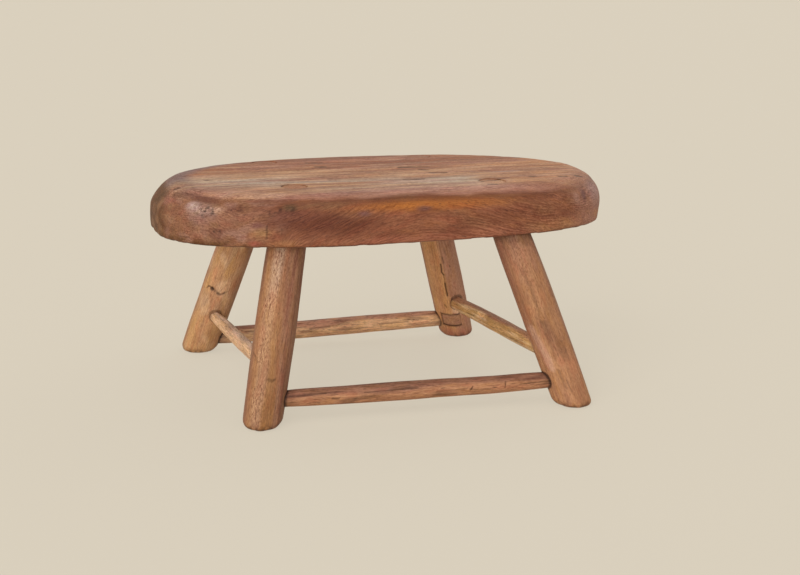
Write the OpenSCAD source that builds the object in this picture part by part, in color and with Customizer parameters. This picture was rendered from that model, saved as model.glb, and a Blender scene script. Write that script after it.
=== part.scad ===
// Bed stool: a thick oval plank seat on four leaning legs, with four round stretchers between them.
// Each leg has a round tenon that goes right through the seat and is cut flush with its top.
// Each stretcher has whittled ends that are driven into blind sockets bored in the legs.
// Lengths are in millimetres. X runs along the seat, Y across it with the front at minus Y, Z up.

/* [Seat] */
// Height of the stool, from the floor to the top of the seat
stool_height = 222; // [200:1:260]
// Length of the seat
seat_length = 472; // [440:1:520]
// Width of the seat
seat_width = 250; // [240:1:300]
// Thickness of the plank
seat_thickness = 48; // [42:1:56]
// How square the outline is along the front, where 2 is an ellipse
front_squareness = 2.8; // [2.5:0.1:3.4]
// How square the outline is along the back, which was sawn rounder
back_squareness = 2.2; // [2.2:0.1:3.4]
// Radius worn on the top edge along the two sides
seat_side_round = 22; // [8:1:24]
// Radius worn on the top edge at the two ends
seat_end_round = 30; // [18:1:34]
// Radius of the bottom edge
seat_bottom_round = 3.5; // [2:0.5:6]

/* [Legs] */
// Diameter of a leg at the floor
leg_foot_d = 37.5; // [34:0.5:39]
// Diameter of a leg at half height, its thickest place
leg_belly_d = 39.5; // [38:0.5:42]
// Diameter of a leg where it meets the seat
leg_shoulder_d = 37; // [34:0.5:39]
// Diameter of the tenon that goes through the seat
leg_tenon_d = 25; // [20:0.5:28]
// Distance of the tenons from the ends of the seat
leg_from_end = 142; // [120:1:150]
// Distance of the tenons from the sides of the seat
leg_from_side = 47; // [47:1:60]
// Lean of the legs towards the ends of the seat, in degrees
leg_lean_along = 16; // [10:0.5:18]
// Lean of the legs towards the front and the back, in degrees
leg_lean_across = 13; // [9:0.5:15]
// Radius worn on the lower edge of each foot
foot_round = 7.5; // [3:0.5:8]

/* [Stretchers] */
// Height of the front stretcher above the floor, at its middle line
front_height = 24.5; // [20:0.5:28]
// Height of the back stretcher above the floor
back_height = 18; // [16:0.5:26]
// Height of the left and right stretchers above the floor
side_height = 47; // [46:1:60]
// Diameter of the front stretcher at its middle
front_belly_d = 18.5; // [17:0.5:22]
// Diameter of the front stretcher at its ends
front_end_d = 16; // [13:0.5:16.5]
// Diameter of the back stretcher at its middle
back_belly_d = 20.5; // [18.5:0.5:22]
// Diameter of the back stretcher at its ends
back_end_d = 18; // [14:0.5:18.5]
// Diameter of the left stretcher at its middle
left_belly_d = 14; // [12:0.5:18]
// Diameter of the left stretcher at its ends
left_end_d = 12; // [9:0.5:12]
// Diameter of the right stretcher at its middle
right_belly_d = 17.5; // [16:0.5:20]
// Diameter of the right stretcher at its ends
right_end_d = 15; // [12:0.5:16]
// How far each stretcher's end goes past the middle line of its leg
socket_past_middle = 6; // [2:0.5:9]

/* [Repair patch] */
// Height of the patch let into the back right leg, beside the socket of the back stretcher
patch_height = 14; // [8:0.5:16]
// How far the middle of the patch lies above the middle of that socket
patch_rise = 3; // [0:0.5:5]
// Thickness of the patch
patch_thick = 2.4; // [1.6:0.1:3]
// How far the face of the patch lies below the face of the leg
patch_sunk = 0.4; // [0.1:0.1:1]
// How far the patch reaches round the leg, in degrees
patch_turn = 62; // [40:1:80]

/* [Fit] */
// Clearance round every tenon, socket and patch
fit = 0.1; // [0.05:0.05:0.2]

/* [Hidden] */

// The legs' places in the lists below
FRONT_LEFT = 0;
FRONT_RIGHT = 1;
BACK_LEFT = 2;
BACK_RIGHT = 3;

// The end and the side of the seat that each leg leans to
side_signs = [[-1, -1], [1, -1], [-1, 1], [1, 1]];

// The maker bored by eye, so no two legs stand alike. Each leg's tenon lies this far outwards
// of the common place, along and across, and leans this many degrees more, along and across.
hand_offsets = [[14, -14], [-2, 2], [9.5, 2], [-20, 7]];
hand_leans = [[-4.5, -1], [2, 2.3], [0.5, 2.3], [0.5, -4.8]];

// The stretchers' places in the lists below
FRONT = 0;
BACK = 1;
LEFT = 2;
RIGHT = 3;

// The two legs that each stretcher joins, from the left or the back one to the other
joined_legs = [
    [FRONT_LEFT, FRONT_RIGHT],
    [BACK_LEFT, BACK_RIGHT],
    [BACK_LEFT, FRONT_LEFT],
    [BACK_RIGHT, FRONT_RIGHT]
];
// The two ends of each stretcher lie this much above its named height
hand_heights = [[-0.5, 0.5], [-2, 4], [-0.5, 5.5], [-1, 1]];
stretcher_heights = [front_height, back_height, side_height, side_height];
belly_ds = [front_belly_d, back_belly_d, left_belly_d, right_belly_d];
end_ds = [front_end_d, back_end_d, left_end_d, right_end_d];

// Facets of the smooth shapes
around = 96;
top_steps = 12;
bottom_steps = 5;
profile_steps = 14;
$fn = 64;

underside = stool_height - seat_thickness;
// A length longer than the whole stool, for cutting shapes
beyond = 2 * seat_length;

function lerp(a, b, t) = a + (b - a) * t;

// The middle of a leg's tenon in the top of the seat
function tenon_top(i) = [
    side_signs[i][0] * (seat_length / 2 - leg_from_end + hand_offsets[i][0]),
    side_signs[i][1] * (seat_width / 2 - leg_from_side + hand_offsets[i][1]),
    stool_height
];

// How far a leg moves outwards for each millimetre down, along and across
function leg_slope(i) = [
    side_signs[i][0] * tan(leg_lean_along + hand_leans[i][0]),
    side_signs[i][1] * tan(leg_lean_across + hand_leans[i][1])
];

// The point of a leg's middle line at a height
function leg_point(i, z) = [
    tenon_top(i)[0] + leg_slope(i)[0] * (stool_height - z),
    tenon_top(i)[1] + leg_slope(i)[1] * (stool_height - z),
    z
];

// Length along a leg for each millimetre of height, and the leg's lean from upright
function leg_stretch(i) = norm([leg_slope(i)[0], leg_slope(i)[1], 1]);
function leg_lean(i) = acos(1 / leg_stretch(i));
// The way round that a leg leans as it rises
function leg_heading(i) = atan2(-leg_slope(i)[1], -leg_slope(i)[0]);

// Radius of a leg, by a parabola through the foot, the belly and the shoulder
function leg_radius(t) =
    leg_foot_d / 2 * (1 - t) * (1 - 2 * t)
    + leg_belly_d / 2 * 4 * t * (1 - t)
    + leg_shoulder_d / 2 * t * (2 * t - 1);

// The point of a stretcher's middle line on the middle line of its first or second leg
function stretcher_end(s, k) =
    leg_point(joined_legs[s][k], stretcher_heights[s] + hand_heights[s][k]);

// Places its children on a line from one point towards another, with Z along the line
module along(from, to) {
    way = to - from;
    translate(from)
        rotate([0, acos(way[2] / norm(way)), atan2(way[1], way[0])])
            children();
}

// Places its children on a leg's middle line, with Z up the leg from zero at the floor and X level
module on_leg(i) {
    translate(leg_point(i, 0))
        rotate([0, leg_lean(i), leg_heading(i)])
            rotate([0, 0, -90])
                children();
}

// One point of the seat's outline, drawn in from its edge
function seat_outline(angle, inset_x, inset_y) =
    let (
        c = cos(angle),
        s = sin(angle),
        power = 2 / (s < 0 ? front_squareness : back_squareness)
    )
    [
        (seat_length / 2 - inset_x) * sign(c) * pow(abs(c), power),
        (seat_width / 2 - inset_y) * sign(s) * pow(abs(s), power)
    ];

// The top edge's radius turns from the sides' to the ends' with the way that the edge faces
function seat_drop(angle) = lerp(seat_side_round, seat_end_round, pow(cos(angle), 2));

// One ring of the seat's skin on the worn top edge, where turn runs from 0 at the wall to 90 on top
function top_ring(turn) = [
    for (k = [0 : around - 1])
        let (
            angle = k * 360 / around,
            draw = 1 - cos(turn),
            p = seat_outline(angle, seat_end_round * draw, seat_side_round * draw)
        )
        [p[0], p[1], stool_height - seat_drop(angle) * (1 - sin(turn))]
];

// One ring of the seat's skin on the bottom edge, where turn runs from 0 at the wall to 90 below
function bottom_ring(turn) = [
    for (k = [0 : around - 1])
        let (
            draw = seat_bottom_round * (1 - cos(turn)),
            p = seat_outline(k * 360 / around, draw, draw)
        )
        [p[0], p[1], underside + seat_bottom_round * (1 - sin(turn))]
];

module seat_blank() {
    rings = concat(
        [for (j = [0 : bottom_steps]) bottom_ring(90 * (1 - j / bottom_steps))],
        [for (j = [0 : top_steps]) top_ring(90 * j / top_steps)]
    );
    count = len(rings);
    points = [for (ring = rings) for (p = ring) p];
    walls = [
        for (j = [0 : count - 2])
            for (k = [0 : around - 1])
                let (
                    a = j * around + k,
                    b = j * around + (k + 1) % around
                )
                each [[a, a + around, b], [b, a + around, b + around]]
    ];
    bottom = [[for (k = [0 : around - 1]) k]];
    top = [[for (k = [around - 1 : -1 : 0]) (count - 1) * around + k]];
    polyhedron(points, concat(walls, bottom, top), convexity = 4);
}

// The round mortise bored through the seat for a leg
module seat_mortise(i) {
    on_leg(i)
        translate([0, 0, underside * leg_stretch(i) - leg_belly_d])
            cylinder(h = seat_thickness * leg_stretch(i) + 2 * leg_belly_d, d = leg_tenon_d + 2 * fit);
}

module seat() {
    color("sienna")
        difference() {
            seat_blank();
            for (i = [FRONT_LEFT : BACK_RIGHT])
                seat_mortise(i);
        }
}

// The space that a leg's body may fill: from the level foot with its worn edge to the seat's underside
module leg_limits(i) {
    rim = leg_foot_d / 2 / cos(leg_lean(i));
    worn_edge = [
        for (turn = [0 : 15 : 90])
            [rim - foot_round * (1 - sin(turn)), foot_round * (1 - cos(turn))]
    ];
    mid = leg_point(i, foot_round / 2);
    translate([mid[0], mid[1], 0])
        rotate_extrude()
            polygon(concat(
                [[0, 0]],
                worn_edge,
                [[beyond, foot_round + beyond], [beyond, underside + beyond], [0, underside + beyond]]
            ));
}

module leg_body(i) {
    length = underside * leg_stretch(i);
    side = [
        for (j = [0 : profile_steps])
            [leg_radius(j / profile_steps), length * j / profile_steps]
    ];
    intersection() {
        on_leg(i)
            rotate_extrude()
                polygon(concat(
                    [[0, -leg_foot_d], [leg_foot_d / 2, -leg_foot_d]],
                    side,
                    [[leg_shoulder_d / 2, length + leg_shoulder_d], [0, length + leg_shoulder_d]]
                ));
        leg_limits(i);
        translate([-beyond / 2, -beyond / 2, -1])
            cube([beyond, beyond, underside + 1]);
    }
}

// The tenon starts inside the body and is cut flush with the top of the seat
module leg_tenon(i) {
    start = (underside - leg_tenon_d) * leg_stretch(i);
    intersection() {
        on_leg(i)
            translate([0, 0, start])
                cylinder(h = (seat_thickness + 3 * leg_tenon_d) * leg_stretch(i), d = leg_tenon_d);
        translate([-beyond / 2, -beyond / 2, 0])
            cube([beyond, beyond, stool_height]);
    }
}

// The blind socket for one end of a stretcher, open towards the other end
module stretcher_socket(s, k) {
    along(stretcher_end(s, k), stretcher_end(s, 1 - k))
        translate([0, 0, -socket_past_middle - fit])
            cylinder(h = socket_past_middle + fit + leg_belly_d, d = end_ds[s] + 2 * fit);
}

module leg(i) {
    difference() {
        union() {
            leg_body(i);
            leg_tenon(i);
        }
        for (s = [FRONT : RIGHT])
            for (k = [0, 1])
                if (joined_legs[s][k] == i)
                    stretcher_socket(s, k);
    }
}

module leg_front_left() {
    color("peru")
        leg(FRONT_LEFT);
}

module leg_front_right() {
    color("peru")
        leg(FRONT_RIGHT);
}

module leg_back_left() {
    color("peru")
        leg(BACK_LEFT);
}

// The patch covers the front of the back right leg, a little above the back stretcher's socket
patch_z = back_height + hand_heights[BACK][1] + patch_rise;
patch_face = leg_radius(patch_z / underside) - patch_sunk;
// It starts beside the socket, far enough round to leave the socket's wall whole
patch_start = asin((back_end_d / 2 + 2 * fit) / (patch_face - patch_thick - fit)) + 1;

// A curved slip with extra cut all round, and its own outer radius. Its upper and lower edges are level.
module patch_slip(extra, outer) {
    inner = patch_face - patch_thick - extra;
    turn_extra = extra / patch_face * 180 / PI;
    middle = patch_z * leg_stretch(BACK_RIGHT);
    tall = patch_height + leg_belly_d;
    intersection() {
        on_leg(BACK_RIGHT)
            rotate([0, 0, 270 + patch_start - turn_extra - leg_heading(BACK_RIGHT)])
                rotate_extrude(angle = patch_turn + 2 * turn_extra)
                    translate([inner, middle - tall / 2])
                        square([outer - inner, tall]);
        translate([-beyond / 2, -beyond / 2, patch_z - patch_height / 2 - extra])
            cube([beyond, beyond, patch_height + 2 * extra]);
    }
}

module leg_back_right() {
    color("peru")
        difference() {
            leg(BACK_RIGHT);
            patch_slip(fit, leg_belly_d);
        }
}

module leg_patch() {
    color("burlywood")
        patch_slip(0, patch_face);
}

// A bellied rod with straight ends, each as long as the leg that it is driven into is thick
module stretcher(s) {
    from = stretcher_end(s, 0);
    to = stretcher_end(s, 1);
    length = norm(to - from);
    end_r = end_ds[s] / 2;
    belly_r = belly_ds[s] / 2;
    lean = max(leg_lean(joined_legs[s][0]), leg_lean(joined_legs[s][1]));
    // Where the straight ends stop, clear of the leg's slanting side
    collar = leg_belly_d / 2 / cos(lean) + end_r * tan(lean) + fit;
    belly = [
        for (j = [0 : profile_steps])
            [
                lerp(end_r, belly_r, pow(sin(180 * j / profile_steps), 0.8)),
                lerp(collar, length - collar, j / profile_steps)
            ]
    ];
    tip = end_r / 6;
    along(from, to)
        rotate_extrude()
            polygon(concat(
                [
                    [0, -socket_past_middle],
                    [end_r - tip, -socket_past_middle],
                    [end_r, tip - socket_past_middle]
                ],
                belly,
                [
                    [end_r, length + socket_past_middle - tip],
                    [end_r - tip, length + socket_past_middle],
                    [0, length + socket_past_middle]
                ]
            ));
}

module stretcher_front() {
    color("chocolate")
        stretcher(FRONT);
}

module stretcher_back() {
    color("chocolate")
        stretcher(BACK);
}

module stretcher_left() {
    color("tan")
        stretcher(LEFT);
}

module stretcher_right() {
    color("tan")
        stretcher(RIGHT);
}

seat();
leg_front_left();
leg_front_right();
leg_back_left();
leg_back_right();
stretcher_front();
stretcher_back();
stretcher_left();
stretcher_right();
leg_patch();
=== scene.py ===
# %% [markdown]
# # An old bed stool
# A thick oval plank stands on four leaning legs, and four round rods tie the legs together low down.
# It is all one kind of thing: old, hand-worked, much handled wood. So this lesson is about wood.
# Each piece gets its worked shape first. Then come the layers of finish: the way the grain runs,
# the colour that use has left in each place, with some painted highlights and painted shade in it,
# and the fine fibres and pores over the top.

# %% Load the packed stool
import math

import bpy
import numpy as np
from mathutils import Matrix, Vector


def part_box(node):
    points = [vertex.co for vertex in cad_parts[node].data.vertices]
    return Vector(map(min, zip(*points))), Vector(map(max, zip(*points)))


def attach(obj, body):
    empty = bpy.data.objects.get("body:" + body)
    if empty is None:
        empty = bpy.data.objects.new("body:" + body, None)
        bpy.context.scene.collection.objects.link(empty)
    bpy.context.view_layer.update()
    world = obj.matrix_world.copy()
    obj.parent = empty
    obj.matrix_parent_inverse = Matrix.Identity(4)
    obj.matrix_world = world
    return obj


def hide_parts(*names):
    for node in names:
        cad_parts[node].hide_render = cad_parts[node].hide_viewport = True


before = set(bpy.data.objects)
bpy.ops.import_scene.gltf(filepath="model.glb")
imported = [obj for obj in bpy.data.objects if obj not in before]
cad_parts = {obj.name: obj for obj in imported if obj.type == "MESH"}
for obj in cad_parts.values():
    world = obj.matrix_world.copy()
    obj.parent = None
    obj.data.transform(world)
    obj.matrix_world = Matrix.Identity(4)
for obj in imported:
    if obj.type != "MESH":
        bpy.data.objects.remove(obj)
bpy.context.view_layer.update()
print("nodes:", ", ".join(sorted(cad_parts)))

# %% [markdown]
# ## The stool's measures
# The lengths are in millimetres, as a joiner would say them, and are turned into metres only when a
# mesh is made. The seat's sizes are read from the packed node. The legs were bored by eye, so each has
# its own place and its own two leans. The mortises, the feet and the line of each rod are worked out
# from them.

# %% Measures
MM = 0.001
seat_low, seat_high = (np.array(corner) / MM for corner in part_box("seat"))
STOOL_HEIGHT = seat_high[2]
UNDERSIDE = seat_low[2]
HALF_LENGTH = (seat_high[0] - seat_low[0]) / 2
HALF_WIDTH = (seat_high[1] - seat_low[1]) / 2

# Each leg: the middle of its tenon in the seat's top, and how it leans outwards along X and Y, in degrees
LEGS = {
    "front_left": {"top": (-108.0, -64.0), "leans": (-11.5, -12.0), "seed": 11},
    "front_right": {"top": (92.0, -80.0), "leans": (18.0, -15.3), "seed": 12},
    "back_left": {"top": (-103.5, 80.0), "leans": (-16.5, 15.3), "seed": 13},
    "back_right": {"top": (74.0, 85.0), "leans": (16.5, 8.2), "seed": 14},
}
print(f"seat {2 * HALF_LENGTH:.0f} by {2 * HALF_WIDTH:.0f} mm, top at {STOOL_HEIGHT:.0f} mm")


def leg_centre(leg, heights):
    """The leg's middle line at each height."""
    heights = np.asarray(heights, float)
    fall = STOOL_HEIGHT - heights
    slope = np.tan(np.radians(leg["leans"]))
    return np.stack([leg["top"][0] + slope[0] * fall, leg["top"][1] + slope[1] * fall, heights], axis=-1)


def leg_axes(leg):
    """Three directions at right angles: two across the leg, and the third up it."""
    up = leg_centre(leg, 1.0) - leg_centre(leg, 0.0)
    up /= np.linalg.norm(up)
    across = np.cross([0.0, 1.0, 0.0], up)
    across /= np.linalg.norm(across)
    return across, np.cross(up, across), up


# %% [markdown]
# ## The camera
# The viewer looks a little down on the stool's front from its left. The camera's place is worked out
# from the way it looks and its distance, so each number says something: turn, tilt, roll and distance.
# The stool's middle lies a little left of the picture's middle and above it, so the camera looks past
# it by that much.

# %% Camera
PICTURE_WIDTH = 800
SENSOR_WIDTH = 36
FOCAL_PIXELS = 1209.5
# From the stool's middle, in metres
DISTANCE = 1.2816
TURN, TILT, ROLL = (math.radians(angle) for angle in (18.52, 14.48, 1.085))
# How far the stool's middle lies from the picture's middle, in pixels
BESIDE, BELOW = -22.35, -11.75


def line_of_sight(turn, tilt):
    """The way that a viewer looks who has turned to the right and tilted down."""
    return Vector((math.sin(turn) * math.cos(tilt), math.cos(turn) * math.cos(tilt), -math.sin(tilt)))


to_stool = line_of_sight(TURN, TILT)
aim_turn = TURN - math.atan2(BESIDE, FOCAL_PIXELS)
looking = line_of_sight(aim_turn, TILT - math.atan2(BELOW, FOCAL_PIXELS))
level = Vector((math.cos(aim_turn), -math.sin(aim_turn), 0))
upward = level.cross(looking)
right = level * math.cos(ROLL) + upward * math.sin(ROLL)
top = upward * math.cos(ROLL) - level * math.sin(ROLL)

camera_data = bpy.data.cameras.new("camera")
camera_data.sensor_width = SENSOR_WIDTH
camera_data.lens = SENSOR_WIDTH * FOCAL_PIXELS / PICTURE_WIDTH
camera = bpy.data.objects.new("camera", camera_data)
bpy.context.scene.collection.objects.link(camera)
turned = Matrix((right, top, -looking)).transposed().to_4x4()
middle = Vector((0, 0, STOOL_HEIGHT * MM / 2))
camera.matrix_world = Matrix.Translation(middle - to_stool * DISTANCE) @ turned
bpy.context.scene.camera = camera
bpy.context.scene.view_settings.view_transform = "Standard"
print(f"lens {camera_data.lens:.1f} mm at {DISTANCE:.2f} m")

# %% [markdown]
# ## A recipe of nodes
# The sky, the floor and each wood are made of nodes that are wired together. They could be laid out by
# hand in the Shader editor. Here a small class adds a node, sets its values and wires it in one line,
# so that a finish reads from top to bottom, as a recipe does.

# %% Recipe
class Recipe:
    """Adds nodes to a material or a world, and wires them."""

    def __init__(self, finished):
        finished.use_nodes = True
        self.tree = finished.node_tree
        self.tree.nodes.clear()

    def node(self, kind, inputs=(), **settings):
        """A node with its settings. Each input is a value, or another node's output to wire to it."""
        made = self.tree.nodes.new(kind)
        for key, value in settings.items():
            setattr(made, key, value)
        for key, value in dict(inputs).items():
            if isinstance(value, bpy.types.NodeSocket):
                self.tree.links.new(value, made.inputs[key])
            else:
                made.inputs[key].default_value = value
        return made

    def math(self, operation, first, second=0.0, third=0.0):
        """Arithmetic on numbers."""
        return self.node("ShaderNodeMath", {0: first, 1: second, 2: third}, operation=operation).outputs[0]

    def vector(self, operation, first, second=(0, 0, 0)):
        """Arithmetic on places. Its first output is a place, and "Value" is a number."""
        return self.node("ShaderNodeVectorMath", {0: first, 1: second}, operation=operation).outputs

    def ramp(self, value, low, high):
        """0 up to low and 1 from high, with a soft rise between them."""
        inputs = {"Value": value, "From Min": low, "From Max": high}
        return self.node("ShaderNodeMapRange", inputs, interpolation_type="SMOOTHSTEP").outputs[0]

    def seen_not_lit(self):
        """1 for what the camera and reflections see of a surface, and 0 for the light that it gives."""
        rays = self.node("ShaderNodeLightPath").outputs
        straight = self.math("MAXIMUM", rays["Is Camera Ray"], rays["Is Glossy Ray"])
        return self.math("MAXIMUM", straight, rays["Is Transmission Ray"])

    def blend_shaders(self, share, first, second):
        """One shader, turned into another by a share."""
        inputs = {0: share, 1: first.outputs[0], 2: second.outputs[0]}
        return self.node("ShaderNodeMixShader", inputs).outputs[0]


print("steps of a recipe:", ", ".join(step for step in vars(Recipe) if not step.startswith("_")))

# %% [markdown]
# ## Light
# A wide, even sky does half of the work, as in a white studio. A broad sun from the upper left adds
# the soft turn from light to shade that shows the legs as round. A second one, low in front, stands
# for a big soft lamp beside the viewer: without it, the legs and rods under the seat stay in the dark.
# A weaker one behind keeps the far side readable when the viewer walks round the stool.
# Together they add up to about one, so a colour renders about as it is written. The suns and the sky
# light the wood in white: the sky's cream is there only for the camera and in reflections.

# %% Light
CREAM = (0.712, 0.640, 0.518, 1)
SKY_LEVEL = 0.58


def sky(name):
    """A world that lights evenly in white, and shows cream to the camera and in reflections."""
    world = bpy.data.worlds.new(name)
    r = Recipe(world)
    white = r.node("ShaderNodeBackground", {"Color": (1, 1, 1, 1), "Strength": SKY_LEVEL})
    cream = r.node("ShaderNodeBackground", {"Color": CREAM, "Strength": 1})
    r.node("ShaderNodeOutputWorld", {"Surface": r.blend_shaders(r.seen_not_lit(), white, cream)})
    return world


def broad_sun(name, level, spread, place):
    """A sun whose light comes from a place, spread over an angle so that its shadows are soft."""
    light = bpy.data.lights.new(name, "SUN")
    light.energy = level
    light.angle = math.radians(spread)
    sun = bpy.data.objects.new(name, light)
    sun.rotation_euler = Vector(place).to_track_quat("Z", "Y").to_euler()
    bpy.context.scene.collection.objects.link(sun)


bpy.context.scene.world = sky("studio sky")
broad_sun("key from the left", 0.85, 40, (-0.80, -0.55, 0.75))
broad_sun("low lamp in front", 1.8, 30, (-0.60, -1.0, 0.23))
broad_sun("fill from behind", 0.6, 80, (0.9, 0.7, 0.35))
print("lights:", ", ".join(light.name for light in bpy.data.lights))

# %% [markdown]
# ## Floor
# The floor is plain cream, wide enough to run out under the sky without a seam. A matt floor alone
# would take too dark a shadow. So most of what the camera and reflections see of it is a shine of
# its own, in the same cream: the shadow stays, but it is as faint as on paper.

# %% Floor
FLOOR_REACH = 40
FLOOR_SHINE = 0.78


def floor_cream(name):
    """Matt cream, most of which the camera and reflections see as a shine of its own."""
    finish = bpy.data.materials.new(name)
    r = Recipe(finish)
    looks = {"Base Color": CREAM, "Roughness": 0.9, "Specular IOR Level": 0.1}
    matt = r.node("ShaderNodeBsdfPrincipled", looks)
    shine = r.node("ShaderNodeEmission", {"Color": CREAM, "Strength": 1})
    share = r.math("MULTIPLY", r.seen_not_lit(), FLOOR_SHINE)
    r.node("ShaderNodeOutputMaterial", {"Surface": r.blend_shaders(share, matt, shine)})
    return finish


corners = [(FLOOR_REACH * x, FLOOR_REACH * y, 0) for x, y in ((-1, -1), (1, -1), (1, 1), (-1, 1))]
floor_mesh = bpy.data.meshes.new("floor")
floor_mesh.from_pydata(corners, [], [(0, 1, 2, 3)])
floor_mesh.materials.append(floor_cream("cream floor"))
floor = bpy.data.objects.new("floor", floor_mesh)
bpy.context.scene.collection.objects.link(floor)
print("floor:", 2 * FLOOR_REACH, "m square")

# %% [markdown]
# ## Tools for worked shapes
# Hand-made wood is never quite round or flat. It could be sculpted by hand, but a script has to give
# the same stool each time. So the unevenness is a sum of seeded waves, which is smooth and can be made
# long along the grain and short across it, as a drawknife or a plane leaves it.
# A dent or a crack is told by a line drawn on the surface, and a stain by the middle of an egg-shaped
# blot. Both fade out from there.

# %% Tools for worked shapes
FULL_TURN = 2 * math.pi


def smooth(low, high, value):
    """0 up to low and 1 from high, with a soft rise between them."""
    share = np.clip((value - low) / (high - low), 0, 1)
    return share * share * (3 - 2 * share)


def field(points, sizes, seed, waves=16):
    """A smooth random height of about -1 to 1, with swellings as wide as sizes along X, Y and Z."""
    random = np.random.default_rng(seed)
    scaled = points / np.array(sizes, float)
    total = np.zeros(len(points))
    for _ in range(waves):
        way = random.normal(size=3)
        way *= math.pi * random.uniform(0.6, 1.4) / np.linalg.norm(way)
        total += np.sin(scaled @ way + random.uniform(0, FULL_TURN))
    return total * math.sqrt(2 / waves) / 1.5


def uneven(points, swellings, seed):
    """Random heights added up: each has its own height and sizes, and its seed is one more."""
    return sum(height * field(points, sizes, seed + step) for step, (height, sizes) in enumerate(swellings))


def blot(points, centre, reach):
    """1 in the middle of an egg-shaped patch, and 0 from its edge on."""
    away = np.linalg.norm((points - np.array(centre, float)) / np.array(reach, float), axis=1)
    return smooth(1, 0.15, away)


def near_line(places, line, half_width):
    """1 on a drawn line of two or more places, and 0 from half_width away."""
    nearest = np.full(len(places), np.inf)
    for start, end in zip(line[:-1], line[1:]):
        start, end = np.array(start, float), np.array(end, float)
        step = end - start
        share = np.clip((places - start) @ step / max(step @ step, 1e-9), 0, 1)
        nearest = np.minimum(nearest, np.linalg.norm(places - start - share[:, None] * step, axis=1))
    return smooth(half_width, 0.3 * half_width, nearest)


def compass(turns):
    """The level direction of each turn from the X axis."""
    return np.stack([np.cos(turns), np.sin(turns), np.zeros(len(turns))], axis=1)


print(f"half way up a soft rise: {smooth(0, 1, 0.5):.2f}")

# %% [markdown]
# ## Tools for meshes
# A piece begins as rings of points with a skin over them. That could be a lofted curve or a turned
# profile, but rings written as numbers can lie level on a leaning leg, and square to a slanting rod.
# Where a piece's points are needed later, numpy reads them all in one go.

# %% Tools for meshes
def mesh_piece(name, points, faces):
    """A new mesh object from points in millimetres."""
    mesh = bpy.data.meshes.new(name)
    mesh.from_pydata((np.asarray(points) * MM).tolist(), [], faces)
    mesh.update()
    piece = bpy.data.objects.new(name, mesh)
    bpy.context.scene.collection.objects.link(piece)
    return piece


def skin(name, rings, low_end, high_end):
    """A closed skin over rings of points, which turn anticlockwise seen from the high end."""
    rings = np.asarray(rings)
    rows, around = rings.shape[:2]
    points = np.vstack([rings.reshape(-1, 3), [low_end], [high_end]])
    low, high = rows * around, rows * around + 1
    faces = []
    for k in range(around):
        beside = (k + 1) % around
        faces.append((low, beside, k))
        faces.append((high, (rows - 1) * around + k, (rows - 1) * around + beside))
        for row in range(0, (rows - 1) * around, around):
            faces.append((row + k, row + beside, row + around + beside, row + around + k))
    return mesh_piece(name, points, faces)


def read_points(values, key):
    """Three numbers for each point of a mesh, as rows."""
    flat = np.empty(len(values) * 3, np.float32)
    values.foreach_get(key, flat)
    return flat.reshape(-1, 3).astype(float)


def places_of(piece):
    """The mesh's points, in millimetres."""
    return read_points(piece.data.vertices, "co") / MM


def settle(piece):
    """Makes what the piece's modifiers show into its real mesh."""
    seen = piece.evaluated_get(bpy.context.evaluated_depsgraph_get())
    settled = bpy.data.meshes.new_from_object(seen)
    settled.name = piece.name
    piece.modifiers.clear()
    old = piece.data
    piece.data = settled
    bpy.data.meshes.remove(old)


def cut(piece, cutters):
    """Cuts away the shapes of the cutters, which are then thrown away."""
    for cutter in cutters:
        step = piece.modifiers.new("cut", "BOOLEAN")
        step.operation = "DIFFERENCE"
        step.solver = "EXACT"
        step.object = cutter
    settle(piece)
    for cutter in cutters:
        bpy.data.objects.remove(cutter)


def soften(piece, sharpest=38):
    """Shades the piece as smooth, apart from edges that turn by more degrees than sharpest."""
    piece.data.shade_smooth()
    piece.data.set_sharp_from_angle(angle=math.radians(sharpest))


print("points of the packed seat:", len(places_of(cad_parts["seat"])))

# %% [markdown]
# ## The plank's shape
# The seat was sawn from a two-inch plank to an oval that is squarer at the front, and its top edge
# has worn into a broad round. Rings drawn round that oval give the shape, but rings crowd together at
# its middle. So a Remesh modifier spreads an even net over it, fine enough to hold dents.

# %% Seat blank
FRONT_SQUARE, BACK_SQUARE = 2.8, 2.2
SIDE_WORN, END_WORN, LOWER_EDGE = 22.0, 30.0, 3.5
RING_POINTS = 240
NET = 1.5


def seat_ring(inset_along, inset_across, drop_side, drop_end, from_height):
    """One ring of the seat, drawn in from its outline and dropped from a height."""
    turns = np.linspace(0, FULL_TURN, RING_POINTS, endpoint=False)
    along, across = np.cos(turns), np.sin(turns)
    power = 2 / np.where(across < 0, FRONT_SQUARE, BACK_SQUARE)
    x = (HALF_LENGTH - inset_along) * np.sign(along) * np.abs(along) ** power
    y = (HALF_WIDTH - inset_across) * np.sign(across) * np.abs(across) ** power
    drop = drop_side + (drop_end - drop_side) * along**2
    return np.stack([x, y, from_height - drop], axis=1)


seat_rings = []
for bend in np.radians(np.linspace(90, 0, 6)):
    inset, rise = LOWER_EDGE * (1 - math.cos(bend)), LOWER_EDGE * (1 - math.sin(bend))
    seat_rings.append(seat_ring(inset, inset, -rise, -rise, UNDERSIDE))
for bend in np.radians(np.linspace(0, 90, 15)):
    inset, fall = 1 - math.cos(bend), 1 - math.sin(bend)
    seat_rings.append(seat_ring(END_WORN * inset, SIDE_WORN * inset, SIDE_WORN * fall, END_WORN * fall,
                                STOOL_HEIGHT))
seat = skin("plank_seat", seat_rings, (0, 0, UNDERSIDE), (0, 0, STOOL_HEIGHT))
even_net = seat.modifiers.new("even net", "REMESH")
even_net.mode = "VOXEL"
even_net.voxel_size = NET * MM
settle(seat)
print("seat net:", len(seat.data.polygons), "faces")

# %% [markdown]
# ## Wear and tool marks on the plank
# Planing, sitting and handling have left hollows, a soft ridge where the top turns into the side, and
# a crease with a swelling under it at the left. A displacement texture could do the hollows, but these
# marks have known places. So each point of the net moves along its own facing by a sum of small
# reliefs, and each relief is told by where it lies.

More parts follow.
